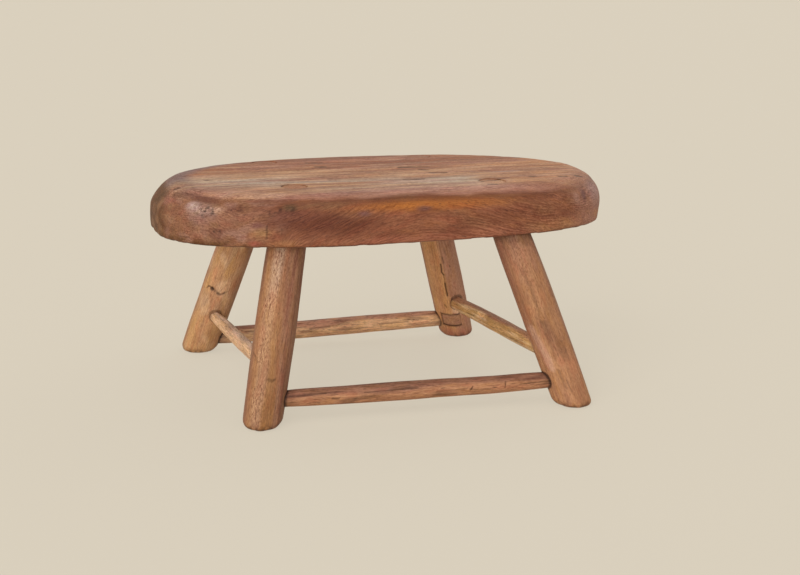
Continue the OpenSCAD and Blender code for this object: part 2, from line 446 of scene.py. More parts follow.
# %% Seat relief
# How the plane and the years left the surface: the height of each kind of swelling, and its sizes
SEAT_WAVES = ((0.45, (120, 45, 45)), (0.16, (60, 13, 13)), (0.07, (14, 4, 4)))
# Where the worn top turns into the front: places along the seat and their heights
TURN_PLACES = (-236, -220, -196, -167, -114, -67, -28, 13, 54, 86, 119, 144, 181, 204, 236)
TURN_HEIGHTS = (
    213, 215, 216.4, 217.4, 218.4, 218.9, 219.2, 219.4, 218.2, 217.4, 216.3, 215.7, 216.5, 217, 216)
# The dark hollow under that turn at the left
LEFT_HOLLOW = [
    (-218, -43.5, 216), (-210, -58, 216.6), (-203, -68.5, 216.3), (-195, -78, 215.8), (-184, -87, 215.7)]
# Worn hollows below 0 and swellings above it: how high each stands, its middle and how far it reaches
WORN_PLACES = [
    (-0.9, (10, 0, STOOL_HEIGHT), (190, 90, 30)), (1.4, (-201, -82, 207), (24, 22, 12)),
    (-2.4, (-230, 10, 215), (26, 62, 18)), (-2.4, (233, -40, 177), (26, 60, 16)),
    (-1.5, (-213, 24, 221), (26, 30, 12)), (1.7, (225, -10, 219), (20, 70, 9)),
    (-1.5, (237, -20, 198), (16, 70, 11)),
]
# Dark checks in the top, each as a line in the plan of the seat
TOP_CHECKS = [
    ((-61, 69), (-51, 67), (-43, 68)), ((-57, 43.5), (-46, 42)), ((28, 22.5), (44, 24), (60, 20)),
    ((46, 8), (55, 4.5)), ((50, -12), (58, -14), (68, -15.5)), ((10, -46), (19, -49), (30, -48)),
    ((-184, -11), (-178, -11.5)), ((141, -63), (148, -63.5)), ((-217, -33), (-213, -35.5)),
    ((171, -69), (179, -71)), ((191, -66), (199, -64.5)),
]


def turn_height(x):
    """How high the worn turn lies at each place along the front."""
    return np.interp(x, TURN_PLACES, TURN_HEIGHTS)


def in_plan(points):
    """Places in the seat's plan, pressed together front to back, so that marks come out broader so."""
    return np.asarray(points, float)[..., :2] * (1, 0.55)


def seat_relief(p):
    """How far each point of the seat lies above or below the plain shape."""
    front = smooth(-30, -80, p[:, 1])
    worn_ridge = np.exp(-(((p[:, 2] - turn_height(p[:, 0])) / 2.6) ** 2)) * front
    height = uneven(p, SEAT_WAVES, 1)
    height += 0.35 * worn_ridge * (1 + 0.5 * field(p, (50, 50, 50), 4))
    height -= 1.1 * near_line(p, LEFT_HOLLOW, 7.5)
    for rise, centre, reach in WORN_PLACES:
        height += rise * blot(p, centre, reach)
    for check in TOP_CHECKS:
        height -= 0.45 * near_line(in_plan(p), in_plan(check), 1.8) * smooth(200, 215, p[:, 2])
    near_bottom = smooth(UNDERSIDE + 9, UNDERSIDE, p[:, 2])
    height -= 0.5 * near_bottom * smooth(0.1, 0.9, field(p, (11, 9, 20), 5))
    return height


seat_points = places_of(seat)
seat_facing = read_points(seat.data.vertex_normals, "vector")
worn_points = seat_points + seat_facing * seat_relief(seat_points)[:, None]
seat.data.vertices.foreach_set("co", (worn_points * MM).astype(np.float32).ravel())
seat.data.update()
print("relief:", len(WORN_PLACES), "worn places and", len(TOP_CHECKS), "checks")

# %% [markdown]
# ## Mortises
# Each leg's round tenon goes right through the plank, on the leg's own slant. The mortise is bored
# with a Boolean, which gives a crisp rim that a net of points can't. The old bores aren't true
# circles any more: a cutter with a slightly uneven radius leaves a thin dark gap here and there.

# %% Mortises
TENON_RADIUS = 12.5
# How loose the tenons are, and how far their ends have sunk
LOOSE = {"front": 0.2, "back": 0.05}
SUNK = {"front": 0.25, "back": 0.05}
# Where a mortise has opened, as seen from above: the turn in degrees, its spread and its width
OPENED = {"front_right": [(45, 40, 0.6)]}


def leg_ring(leg, height, radii, turns):
    """A ring on a leaning round leg at one height or one for each turn, with radii square to the leg."""
    outward = compass(turns)
    slant = np.sqrt(1 - (outward @ leg_axes(leg)[2]) ** 2)
    return leg_centre(leg, height) + outward * (radii / slant)[:, None]


def mortise_cutter(name):
    """A slanting pin with an uneven radius, a little longer than the plank is thick."""
    leg = LEGS[name]
    turns = np.linspace(0, FULL_TURN, 72, endpoint=False)
    slack = LOOSE[name.split("_")[0]]
    radii = TENON_RADIUS + slack + 0.6 * slack * field(compass(turns), (0.5, 0.5, 1), leg["seed"] + 40)
    for turn, spread, width in OPENED.get(name, []):
        apart = (np.degrees(turns) - turn + 180) % 360 - 180
        radii = radii + width * np.exp(-((apart / spread) ** 2) * 2)
    low, high = UNDERSIDE - 6, STOOL_HEIGHT + 6
    rings = [leg_ring(leg, height, radii, turns) for height in np.linspace(low, high, 5)]
    return skin(f"cutter_{name}", rings, leg_centre(leg, low), leg_centre(leg, high))


cut(seat, [mortise_cutter(name) for name in LEGS])
soften(seat)
print("seat with mortises:", len(seat.data.polygons), "faces")

# %% [markdown]
# ## The legs' shape
# A leg was shaved round with a drawknife, so it swells a little at its middle and has long, soft
# flats. It is drawn as level rings on a leaning middle line: the first ones make the level foot with
# its worn edge, the next ones the shaft, and the last ones the shoulder and the tenon, up to the top
# of the seat. A turned cylinder would need its ends cut afterwards, and level rings don't.
# Cracks, the knot and scars are lines in the leg's own terms: a turn round it and a height.

# %% Leg measures
LEG_FOOT, LEG_BELLY, LEG_SHOULDER = 18.75, 19.75, 18.5
FOOT_ROUND = 7.5
LEG_WAVES = ((0.30, (15, 15, 110)), (0.13, (5, 5, 40)), (0.05, (2.4, 2.4, 9)))
# Where an edge between two flats lies, how strong the flats are, and how many there are
FLATS = {
    "front_left": (-108, 0.35, 7), "front_right": (-134, 0.35, 8),
    "back_left": (-95, 0.2, 9), "back_right": (-112, 0.2, 8),
}
# Cracks, knots and scars on each leg: a line of turns in degrees and heights in millimetres,
# then half its width, its depth and how dark it is
LEG_SCARS = {
    "front_left": [
        ([(-105, 49.8), (-97, 48.2), (-90, 48.4)], 1.7, 0.25, 0.45),
        ([(-90, 48.4), (-84, 49.8)], 0.9, 0.1, 0.3),
        ([(-166, 72), (-150, 68.5), (-141, 64)], 1.0, 0.2, 0.45),
    ],
    "front_right": [
        ([(-116, 139), (-112, 118), (-113, 96)], 1.6, 0.1, 0.25),
        ([(-118, 88), (-113, 63), (-116, 50)], 1.8, 0.15, 0.28),
        ([(-107, 88), (-105, 60)], 1.4, 0.1, 0.22),
        ([(-118, 40), (-114, 22)], 1.8, 0.3, 0.3),
        ([(-104, 30), (-101, 19)], 1.0, 0.15, 0.35),
    ],
    "back_left": [
        ([(-133, 81.2), (-129, 80.2)], 2.2, 1.2, 0.95),
        ([(-153, 80.6), (-149, 83.2), (-142, 83.2), (-133, 81.2)], 0.9, 0.5, 0.8),
        ([(-129, 80.2), (-114, 77.9), (-104, 75)], 1.5, 0.4, 0.5),
        ([(-108, 75.5), (-101, 74.3), (-94, 74.6), (-88, 75.8)], 1.5, 0.5, 0.65),
        ([(-88, 75.8), (-73, 78.3)], 0.9, 0.2, 0.3),
        ([(-104, 77.5), (-97, 81.4)], 0.8, 0.2, 0.3),
        ([(-115, 99), (-113, 91), (-111, 86)], 0.7, 0.2, 0.35),
        ([(-138, 68), (-136, 60)], 0.8, 0.15, 0.35),
    ],
    "back_right": [
        ([(-90.5, 115), (-87, 107)], 0.7, 0.3, 0.45),
        ([(-103, 105), (-101, 98)], 0.8, 0.3, 0.7),
        ([(-112.4, 96.4), (-114, 86), (-110, 83)], 1.0, 0.6, 0.95),
        ([(-110, 83), (-110, 78), (-111.5, 72)], 0.7, 0.4, 0.6),
        ([(-111.5, 72), (-112, 64), (-112.2, 56)], 1.1, 0.8, 0.95),
        ([(-83, 94), (-81, 92.5)], 0.9, 0.3, 0.7),
        ([(-128, 44), (-123, 41)], 1.1, 0.3, 0.6),
        ([(-99, 53), (-102, 45), (-98, 38)], 0.9, 0.4, 0.6),
    ],
}
# A shallow flute low on the front right leg, and the worn ridge beside it: turns and heights
FLUTE = ((-108, -98, -88, -78), (85, 73, 66, 58))
FLUTE_RIDGE = ((-156, -150, -142, -136), (78, 66, 54, 43))


def body_radius(heights):
    """The leg's plain radius, by a parabola through its foot, its belly and its shoulder."""
    share = np.clip(np.asarray(heights, float) / UNDERSIDE, 0, 1)
    foot = LEG_FOOT * (1 - share) * (1 - 2 * share)
    shoulder = LEG_SHOULDER * share * (2 * share - 1)
    return foot + LEG_BELLY * 4 * share * (1 - share) + shoulder


def leg_places(leg, points):
    """For points near a leg: turn in degrees, height, distance from its middle, place in its own axes."""
    own = (points - leg_centre(leg, 0)) @ np.array(leg_axes(leg)).T
    level_part = points - leg_centre(leg, points[:, 2])
    turns = np.degrees(np.arctan2(level_part[:, 1], level_part[:, 0]))
    return turns, points[:, 2], np.hypot(own[:, 0], own[:, 1]), own


def on_leg(turns, heights):
    """Turns and heights as two lengths over the leg's surface, so that lines can be drawn on it."""
    return np.stack([np.radians(turns) * LEG_BELLY, heights], axis=-1)


def scar_lines(name):
    """The leg's scars, with their lines as lengths over its surface."""
    for line, half_width, depth, darkness in LEG_SCARS[name]:
        yield on_leg(*np.array(line, float).T), half_width, depth, darkness


print("scars:", {name: len(scars) for name, scars in LEG_SCARS.items()})

# %% [markdown]
# ## Building the legs
# First the relief is worked out on a plain ring, then the ring is drawn again with the relief in its
# radii. A Displace modifier would push the points along their facing, which tears at the tenon's
# shoulder. Here they only move in and out at their own height, so the shoulder and the foot stay level.

# %% Legs
def leg_relief(name, points):
    """How far the leg's surface lies above or below its plain radius."""
    leg = LEGS[name]
    turns, heights, _, own = leg_places(leg, points)
    edge_turn, strength, count = FLATS[name]
    drift = 5 * field(own, (400, 400, 90), leg["seed"] + 5)
    height = strength * np.cos(np.radians(turns - edge_turn + drift) * count)
    height += uneven(own, LEG_WAVES, leg["seed"])
    surface = on_leg(turns, heights)
    for line, half_width, depth, _ in scar_lines(name):
        height -= depth * near_line(surface, line, half_width * 1.2)
    if name == "front_right":
        height -= 0.8 * near_line(surface, on_leg(*FLUTE), 10)
        height += 0.4 * near_line(surface, on_leg(*FLUTE_RIDGE), 8)
    return height


def leg_piece(name, columns=156):
    """A leg from its foot to the end of its tenon."""
    leg = LEGS[name]
    turns = np.linspace(-math.pi, math.pi, columns, endpoint=False)
    # Each ring: its height, its share of the full radius, and how far it is drawn in
    rows = [(0.0, share, FOOT_ROUND) for share in (0.3, 0.55, 0.8)]
    rows += [(FOOT_ROUND * (1 - math.cos(bend)), 1.0, FOOT_ROUND * (1 - math.sin(bend)))
             for bend in np.radians(np.linspace(0, 90, 9))]
    rows += [(height, 1.0, 0.0) for height in np.linspace(FOOT_ROUND, UNDERSIDE - 1.2, 168)[1:]]
    rows += [(UNDERSIDE - 0.4, 1.0, 0.15), (UNDERSIDE - 0.1, 1.0, 0.7)]
    rings = []
    for height, share, inset in rows:
        plain = leg_ring(leg, height, np.full(columns, body_radius(height)), turns)
        radii = body_radius(height) + leg_relief(name, plain)
        rings.append(leg_ring(leg, height, (radii - inset) * share, turns))
    # The tenon's rings: height, and how far each is drawn in over the rounded end
    tenon_rows = [(height, 0.0) for height in np.linspace(UNDERSIDE - 0.1, STOOL_HEIGHT - 1.0, 14)]
    tenon_rows += [(STOOL_HEIGHT - 0.45, 0.12), (STOOL_HEIGHT - 0.15, 0.5), (STOOL_HEIGHT - 0.05, 1.6),
                   (STOOL_HEIGHT, 4.0), (STOOL_HEIGHT + 0.05, 7.0), (STOOL_HEIGHT + 0.05, 10.0)]
    tenon_radii = TENON_RADIUS - 0.1 + 0.10 * field(compass(turns), (0.6, 0.6, 1), leg["seed"] + 3)
    sunk = SUNK[name.split("_")[0]]
    for height, inset in tenon_rows:
        lowered = height - sunk * smooth(UNDERSIDE, STOOL_HEIGHT, height)
        rings.append(leg_ring(leg, lowered, tenon_radii - inset, turns))
    high_end = leg_centre(leg, STOOL_HEIGHT + 0.05 - sunk)
    return skin(f"round_leg_{name}", rings, leg_centre(leg, 0.0), high_end)


legs = {name: leg_piece(name) for name in LEGS}
print("legs:", sum(len(leg.data.polygons) for leg in legs.values()), "faces")

# %% [markdown]
# ## The rods' shape
# The rods are whittled thinner at their ends, to fit the bored sockets, and none is quite straight.
# They are rings again, now square to a line from leg to leg. Their turns start at the top, so that
# a line drawn at turn 0 lies on the rod's upper side, and 90 degrees on lies the side to the viewer.

# %% Rod measures
# Each rod: its two legs, its height on each, its thickness at the middle and at the ends
RODS = {
    "front": {"legs": ("front_left", "front_right"), "heights": (24, 25), "thick": (18.5, 16), "seed": 21},
    "back": {"legs": ("back_left", "back_right"), "heights": (16, 22), "thick": (20.5, 18), "seed": 22},
    "left": {"legs": ("back_left", "front_left"), "heights": (46.5, 52.5), "thick": (14, 12), "seed": 23},
    "right": {"legs": ("back_right", "front_right"), "heights": (46, 48), "thick": (17.5, 15), "seed": 24},
}
SOCKET_PAST_MIDDLE = 6.0
ROD_WAVES = ((0.28, (8, 8, 60)), (0.12, (3.5, 3.5, 20)))
# Nicks and dents on each rod: a line of lengths from its first leg and turns in degrees,
# then half its width, its depth and how dark it is
ROD_NICKS = {
    "front": [
        ([(205.5, 78), (203.5, 100)], 0.9, 0.4, 0.8), ([(203.5, 96), (210.5, 99)], 0.7, 0.3, 0.6),
        ([(240, 62), (239, 104)], 0.7, 0.3, 0.7), ([(64, 92), (70, 94)], 1.3, 0.4, 0.7),
        ([(30, 60), (58, 52)], 0.8, 0.2, 0.6), ([(96, 66), (150, 60)], 0.8, 0.2, 0.5),
        ([(168, 96), (200, 90)], 0.7, 0.2, 0.5), ([(255, 84), (292, 76)], 0.7, 0.2, 0.6),
    ],
    "back": [
        ([(122, 74), (146, 72)], 0.9, 0.2, 0.6), ([(160, 100), (190, 98)], 0.8, 0.2, 0.5),
        ([(205, 82), (240, 80)], 0.8, 0.2, 0.5), ([(100, 60), (118, 60)], 0.8, 0.2, 0.4),
        ([(48, 60), (66, 64)], 1.2, 0.2, 0.6),
    ],
    "left": [([(160, 108), (163, 128)], 0.9, 0.4, 0.7)],
    "right": [
        ([(87, 48), (95, 56)], 4.2, 0.0, -0.5), ([(99, 44), (104, 60)], 3.2, 0.0, -0.4),
        ([(60, 92), (78, 88)], 1.1, 0.3, 0.6), ([(158, 110), (186, 112)], 0.8, 0.3, 0.6),
    ],
}


def rod_line(rod):
    """The rod's first end on its leg's middle line, its length and its three directions."""
    start, end = (leg_centre(LEGS[leg], height) for leg, height in zip(rod["legs"], rod["heights"]))
    length = np.linalg.norm(end - start)
    along = (end - start) / length
    side = np.cross(along, [0.0, 0.0, 1.0])
    side /= np.linalg.norm(side)
    return start, length, along, side, np.cross(side, along)


def rod_places(rod, points):
    """For points near a rod: distance from its first leg, turn from its upper side, radius, own place."""
    start, _, along, side, up = rod_line(rod)
    own = (points - start) @ np.array([side, up, along]).T
    turns = np.degrees(np.arctan2(own[:, 0], own[:, 1]))
    return own[:, 2], turns, np.hypot(own[:, 0], own[:, 1]), own


def on_rod(name, lengths, turns):
    """Lengths and turns as two lengths over the rod's surface."""
    return np.stack([lengths, np.radians(turns) * RODS[name]["thick"][0] / 2], axis=-1)


def nick_lines(name):
    """The rod's nicks, with their lines as lengths over its surface."""
    for line, half_width, depth, darkness in ROD_NICKS[name]:
        yield on_rod(name, *np.array(line, float).T), half_width, depth, darkness


for name, rod in RODS.items():
    print(f"{name} rod: {rod_line(rod)[1]:.0f} mm between the legs' middles")

# %% [markdown]
# ## Building the rods
# Each ring is one step further along the rod. Its radius swells to the rod's belly, its middle bows a
# little off the straight line, and the whittled facets are a wave that sways a little as it goes. Inside
# the legs the rod is nearly smooth, because the sockets would hide such detail.

# %% Rods
def rod_piece(name, columns=72):
    """A rod with both its ends in their sockets."""
    rod = RODS[name]
    start, length, along, side, up = rod_line(rod)
    belly, end = (thick / 2 for thick in rod["thick"])
    collar = LEG_BELLY + 3
    turns = np.linspace(0, -FULL_TURN, columns, endpoint=False)
    outward = np.cos(turns)[:, None] * up + np.sin(turns)[:, None] * side
    tip = 1.2
    first, last = -SOCKET_PAST_MIDDLE, length + SOCKET_PAST_MIDDLE
    # Each ring: its length along the rod, its share of the full radius, and how far it is drawn in
    stations = [(first, 0.5, 0), (first, 1.0, tip), (first + tip, 1.0, 0)]
    stations += [(s, 1.0, 0) for s in np.linspace(first + tip, last - tip, int(length / 1.1))[1:]]
    stations += [(last, 1.0, tip), (last, 0.5, 0)]
    rings = []
    for s, share, inset in stations:
        bellied = math.sin(math.pi * min(max((s - collar) / (length - 2 * collar), 0), 1)) ** 0.8
        radius = end + (belly - end) * bellied
        free = smooth(8, 40, s) * smooth(8, 40, length - s)
        bow = 0.8 * free * math.sin(s / length * 5 + rod["seed"])
        centre = start + along * s + up * bow + side * 0.6 * bow
        own = np.stack([outward @ side * radius, outward @ up * radius, np.full(columns, s)], axis=1)
        whittled = uneven(own, ROD_WAVES, rod["seed"])
        whittled += 0.14 * np.cos(7 * (turns + 0.3 * math.sin(s / 70)))
        distances, degrees, _, _ = rod_places(rod, centre + outward * radius)
        for line, half_width, depth, _ in nick_lines(name):
            whittled -= depth * near_line(on_rod(name, distances, degrees), line, half_width * 1.3)
        in_open = smooth(LEG_BELLY - 2, LEG_BELLY + 6, min(s, length - s))
        radii = (radius + whittled * (0.15 + 0.85 * in_open) - inset) * share
        rings.append(centre + outward * radii[:, None])
    return skin(f"rod_{name}", rings, start + along * first, start + along * last)


rods = {name: rod_piece(name) for name in RODS}
print("rods:", sum(len(rod.data.polygons) for rod in rods.values()), "faces")

# %% [markdown]
# ## The let-in patch
# The foot of the back right leg has been mended: a curved slip of wood is let in beside the socket,
# and it has sunk a little below the leg's face. It is two curved sheets, an outer and an inner one,
# joined by a strip round their rim. The same function, grown a little, makes the cutter for its seat.

# %% Patch
PATCH_MIDDLE, PATCH_HEIGHT, PATCH_THICK, PATCH_SUNK = 25.0, 14.2, 2.4, 0.4
PATCH_TURNS = (-151.0, -81.5)
PATCH_SAG = 1.3
PATCH_ROUND = 0.35


def patch_middle(turns):
    """The height of the patch's middle line, which sags between its ends."""
    share = np.clip((turns - PATCH_TURNS[0]) / (PATCH_TURNS[1] - PATCH_TURNS[0]), 0, 1)
    return PATCH_MIDDLE - PATCH_SAG * (1 - (2 * share - 1) ** 2)


def patch_mesh(name, grow, inner, outer, rounded, columns=64, rows=18):
    """A curved slip on the back right leg, from an inner to an outer radius, grown all round by grow."""
    leg = LEGS["back_right"]
    spread = math.degrees(grow / outer)
    turns = np.radians(np.linspace(PATCH_TURNS[0] - spread, PATCH_TURNS[1] + spread, columns))
    from_end = np.minimum(np.arange(columns), np.arange(columns)[::-1]) / 3
    sheets = []
    for radius, curb in ((outer, rounded), (inner, 0.0)):
        for share in np.linspace(-1, 1, rows):
            from_side = (1 - abs(share)) * (rows - 1) / 2 / 1.5
            drawn = curb * (1 - np.clip(np.minimum(from_end, from_side), 0, 1))
            height = patch_middle(np.degrees(turns)) + share * (PATCH_HEIGHT / 2 + grow)
            sheets.append(leg_ring(leg, height, radius - drawn, turns))
    points = np.vstack(sheets)
    step = rows * columns
    faces = []
    for here in (row * columns + k for row in range(rows - 1) for k in range(columns - 1)):
        faces.append((here, here + 1, here + columns + 1, here + columns))
        faces.append((step + here, step + here + columns, step + here + columns + 1, step + here + 1))
    # The strip round the rim, from the lower left corner anticlockwise
    grid = np.arange(step).reshape(rows, columns)
    rim = [*grid[0], *grid[1:, -1], *grid[-1, -2::-1], *grid[-2:0:-1, 0]]
    for here, beside in zip(rim, rim[1:] + rim[:1]):
        faces.append((beside, here, step + here, step + beside))
    if rounded:
        uneven_face = 0.12 * field(points, (9, 9, 3), 61)
        uneven_face[step:] = 0
        away = points - leg_centre(leg, points[:, 2])
        points = points + away / np.linalg.norm(away, axis=1)[:, None] * uneven_face[:, None]
    return mesh_piece(name, points, faces)


patch_face = float(body_radius(PATCH_MIDDLE)) - PATCH_SUNK
patch = patch_mesh("let_in_patch", 0.0, patch_face - PATCH_THICK, patch_face, PATCH_ROUND)
print("patch:", len(patch.data.polygons), "faces")

# %% [markdown]
# ## Sockets
# The rods' ends sit in blind sockets bored into the legs, a little loose with age, so each shows a
# thin dark gap, and some have worn open upwards. A Boolean cuts them, as it did the mortises: it keeps
# the rim crisp however the rod and the leg lean.

# %% Sockets
SOCKET_SLACK = 0.4
# How far the old sockets have worn upwards, at the first and the second leg of each rod
WORN_UP = {"front": (0.3, 1.0), "back": (0.3, 0.4), "left": (1.7, 0.3), "right": (1.9, 0.3)}


def socket_cutter(name, which):
    """A pin with an uneven radius, from past the middle of a rod's first or second leg outwards."""
    rod = RODS[name]
    start, length, along, side, up = rod_line(rod)
    if which == 1:
        start, along, side = start + along * length, -along, -side
    radius = rod["thick"][1] / 2 + SOCKET_SLACK
    turns = np.linspace(0, -FULL_TURN, 48, endpoint=False)
    around = np.cos(turns)[:, None] * up + np.sin(turns)[:, None] * side
    radii = radius + 0.12 * field(around, (0.6, 0.6, 0.6), rod["seed"] + 7 + which)
    radii = radii + WORN_UP[name][which] * smooth(0.2, 1.0, np.cos(turns))
    first, last = -SOCKET_PAST_MIDDLE - 0.4, 3 * radius + LEG_BELLY
    # Rings this close together let the colour turn dark just under the rim
    rings = [start + along * s + around * radii[:, None] for s in np.linspace(first, last, 64)]
    return skin(f"cutter_{name}_{which}", rings, start + along * first, start + along * last)


cutters = {name: [] for name in LEGS}
for rod_name, rod in RODS.items():
    for which, leg_name in enumerate(rod["legs"]):
        cutters[leg_name].append(socket_cutter(rod_name, which))
cutters["back_right"].append(
    patch_mesh("cutter_patch", 0.5, patch_face - PATCH_THICK - 0.2, patch_face + 6, 0.0))
for name, leg in legs.items():
    cut(leg, cutters[name])
for piece in [*legs.values(), *rods.values(), patch]:
    soften(piece)
print("legs with sockets:", sum(len(leg.data.polygons) for leg in legs.values()), "faces")

# %% [markdown]
# ## Where the grain runs and what colour use has left
# Wood has two kinds of pattern. The fibres and growth rings belong to the tree, and run through the
# whole piece. The worn, bleached and dirty places belong to the stool's life, and lie on its surface,
# and so do painted highlights and painted shade.
# So each piece carries named layers of values on its points. One, called grain, tells the material
# where a point lies in the log. Another, called tone, is the colour of the wood there, with the painted
# highlights and shade in it. The last two say how strongly the coarse flecks and the long lines of the
# grain show.
# Painting an image would also work, but layers made from measures stay sharp and need no image file.

# %% Layers on the mesh
def keep_layers(piece, grain, tone, flecks=1.0, lines=1.0):
    """Stores the four layers: places in the log along the fibres, colours, and two strengths."""
    count = len(grain)
    tone = np.hstack([np.clip(tone, 0.004, 1), np.ones((count, 1))])
    for name, kind, key, values in (
            ("grain", "FLOAT_VECTOR", "vector", grain), ("tone", "FLOAT_COLOR", "color", tone),
            ("flecks", "FLOAT", "value", np.broadcast_to(flecks, count)),
            ("lines", "FLOAT", "value", np.broadcast_to(lines, count))):
        layer = piece.data.attributes.new(name, kind, "POINT")
        layer.data.foreach_set(key, values.astype(np.float32).ravel())


def one_colour(points, colour):
    """The same colour at every point, to paint over."""
    return np.tile(np.array(colour), (len(points), 1))


def paint(tone, mask, colour, strength=1.0):
    """Turns the tone towards a colour where the mask is 1."""
    share = np.clip(mask * strength, 0, 1)[:, None]
    tone += share * (np.array(colour) - tone)


def shade(tone, mask, darkness):
    """Darkens the tone where the mask is 1, or lightens it where darkness is below 0."""
    deep = tone * np.array((0.16, 0.13, 0.13))
    pale = tone * np.array((1.9, 2.1, 2.4))
    aim = deep if darkness > 0 else pale
    tone += (np.clip(mask, 0, 1) * abs(darkness))[:, None] * (aim - tone)


def lay_blots(tone, points, stains, where=1.0):
    """Lays in egg-shaped blots, stains and painted highlights: each one's middle, reach, colour, strength.
    """
    for centre, reach, colour, strength in stains:
        paint(tone, blot(points, centre, reach) * where, colour, strength)


def mottle(tone, points, patches, where=1.0):
    """Lays in random patches: their sizes, their seed, where they rise, their colour, their strength."""
    for sizes, seed, (low, high), colour, strength in patches:
        paint(tone, where * smooth(low, high, field(points, sizes, seed)), colour, strength)


print("layers on each piece: grain, tone, flecks, lines")

# %% [markdown]
# ## The seat's front
# The front of the plank is red-brown and mottled, most of all at its two ends. Each stain is an
# egg-shaped blot with its own place and colour, which is how a painter would lay them in. Random
# patches lie under and between them. A texture over the whole front couldn't put each stain where it
# belongs, such as the ochre band under the worn edge. A pale blot at the right end is a painted
# highlight, and a thin painted shade runs just under the worn turn.

# %% Tone of the seat's front
RED_BROWN = (0.238, 0.088, 0.043)
DARK_BROWN = (0.123, 0.035, 0.017)
OLIVE_BROWN = (0.200, 0.090, 0.042)
PINK_BROWN = (0.240, 0.104, 0.056)
PURPLE_BROWN = (0.140, 0.060, 0.052)
OCHRE = (0.305, 0.101, 0.025)
FRONT_PATCHES = [
    ((36, 36, 8), 71, (-0.2, 1.0), DARK_BROWN, 0.45),
    ((28, 28, 7), 82, (0.0, 1.0), OLIVE_BROWN, 0.4),
]
END_PATCHES = [
    ((13, 13, 9), 84, (0.1, 0.9), (0.31, 0.17, 0.125), 0.45),
    ((11, 11, 8), 85, (0.1, 0.9), OLIVE_BROWN, 0.7),
    ((10, 10, 7), 86, (0.3, 1.0), DARK_BROWN, 0.65),
]
DARK_STAINS = [
    ((-112, -118, 200), (52, 26, 20), DARK_BROWN, 0.9),
    ((-70, -121, 194), (52, 26, 15), DARK_BROWN, 0.7),
]
LEFT_STAINS = [
    ((-138, -112, 204), (34, 24, 13), (0.165, 0.056, 0.034), 0.45),
    ((-157, -108, 200), (20, 16, 9), (0.25, 0.103, 0.049), 0.5),
    ((-152, -110, 188), (17, 14, 8), (0.30, 0.155, 0.06), 0.75),
    ((-155, -109, 196), (9, 8, 4), (0.185, 0.070, 0.055), 0.8),
    ((-132, -115, 179), (24, 14, 6), (0.33, 0.155, 0.06), 0.6),
    ((-157, -108, 179), (9, 9, 4), (0.36, 0.08, 0.06), 0.7),
    ((-195, -80, 188), (28, 24, 12), (0.31, 0.155, 0.095), 0.5),
    ((-222, -40, 211), (16, 22, 7), (0.33, 0.11, 0.08), 0.7),
    ((-218, -48, 202), (14, 20, 8), (0.20, 0.066, 0.038), 0.5),
    ((-170, -98, 210), (18, 14, 5), DARK_BROWN, 0.6),
]
# The ochre band under the worn turn, with its dark spots
OCHRE_STAINS = [
    ((12, -122, 210.5), (130, 26, 9.5), OCHRE, 1.0),
    ((-12, -123, 210.5), (46, 20, 5), (0.42, 0.145, 0.028), 0.4),
    ((-95, -118, 213), (44, 20, 5), OLIVE_BROWN, 0.8),
    ((-56, -123, 205), (10, 9, 4), PURPLE_BROWN, 0.8),
    ((3, -123, 207), (13, 9, 4), PURPLE_BROWN, 0.8),
    ((-125, -114, 212), (12, 10, 5), (0.10, 0.055, 0.025), 0.8),
    ((88, -118, 198), (44, 24, 9), DARK_BROWN, 0.45),
]
LOWER_STAINS = [
    ((64, -120, 181), (44, 24, 8), (0.34, 0.130, 0.070), 0.6),
    ((150, -110, 181), (58, 30, 9), (0.36, 0.165, 0.075), 0.8),
]
# At the right end: the first, pale lilac blot is a painted highlight, and the others are stains.
RIGHT_STAINS_AND_HIGHLIGHT = [
    ((208, -74, 206), (22, 26, 22), (0.36, 0.21, 0.18), 0.75),
    ((176, -97, 204), (7, 9, 11), (0.36, 0.20, 0.155), 0.5),
    ((188, -92, 206), (7, 9, 10), PURPLE_BROWN, 0.85),
    ((214, -68, 184), (26, 30, 7), (0.38, 0.165, 0.065), 0.6),
]


def front_tone(p):
    """The worn front of the plank, from left to right."""
    x, _, z = p.T
    tone = one_colour(p, RED_BROWN)
    mottle(tone, p, FRONT_PATCHES)
    paint(tone, smooth(-135, -165, x), PINK_BROWN, 0.85)
    lay_blots(tone, p, DARK_STAINS)
    # Both ends are mottled, the left one more
    mottle(tone, p, END_PATCHES, smooth(-120, -155, x) + 0.9 * smooth(160, 195, x))
    lay_blots(tone, p, LEFT_STAINS + OCHRE_STAINS)
    lower_edge = smooth(186, 177, z) * smooth(-90, -60, x) * smooth(160, 110, x)
    paint(tone, lower_edge, (0.285, 0.103, 0.058), 0.65)
    lay_blots(tone, p, LOWER_STAINS)
    paint(tone, smooth(160, 200, x), (0.37, 0.175, 0.115), 0.65)
    lay_blots(tone, p, RIGHT_STAINS_AND_HIGHLIGHT)
    # A thin painted shade just under the worn turn, fading out towards the left end.
    below_turn = turn_height(x) - z
    shade(tone, np.exp(-(((below_turn - 2.6) / 2.6) ** 2)) * smooth(-160, -60, x), 0.20)
    return tone


all_stains = DARK_STAINS + LEFT_STAINS + OCHRE_STAINS + LOWER_STAINS + RIGHT_STAINS_AND_HIGHLIGHT
print("stains on the front:", len(all_stains))

# %% [markdown]
# ## The seat's top
# Sitting, standing and scrubbing have worn the top pale, and greyed it along the middle, while the
# back keeps more of its red. The streaks follow the plank's length. They are the random heights of the
# relief again, drawn out long, and in three widths, because one width alone looks like corduroy.

# %% Tone of the seat's top
WORN_TAN = (0.49, 0.240, 0.108)
GREYED = (0.493, 0.383, 0.288)
BACK_RED = (0.350, 0.116, 0.044)
TOP_DARK = (0.25, 0.088, 0.038)
TOP_PALE = (0.59, 0.37, 0.215)
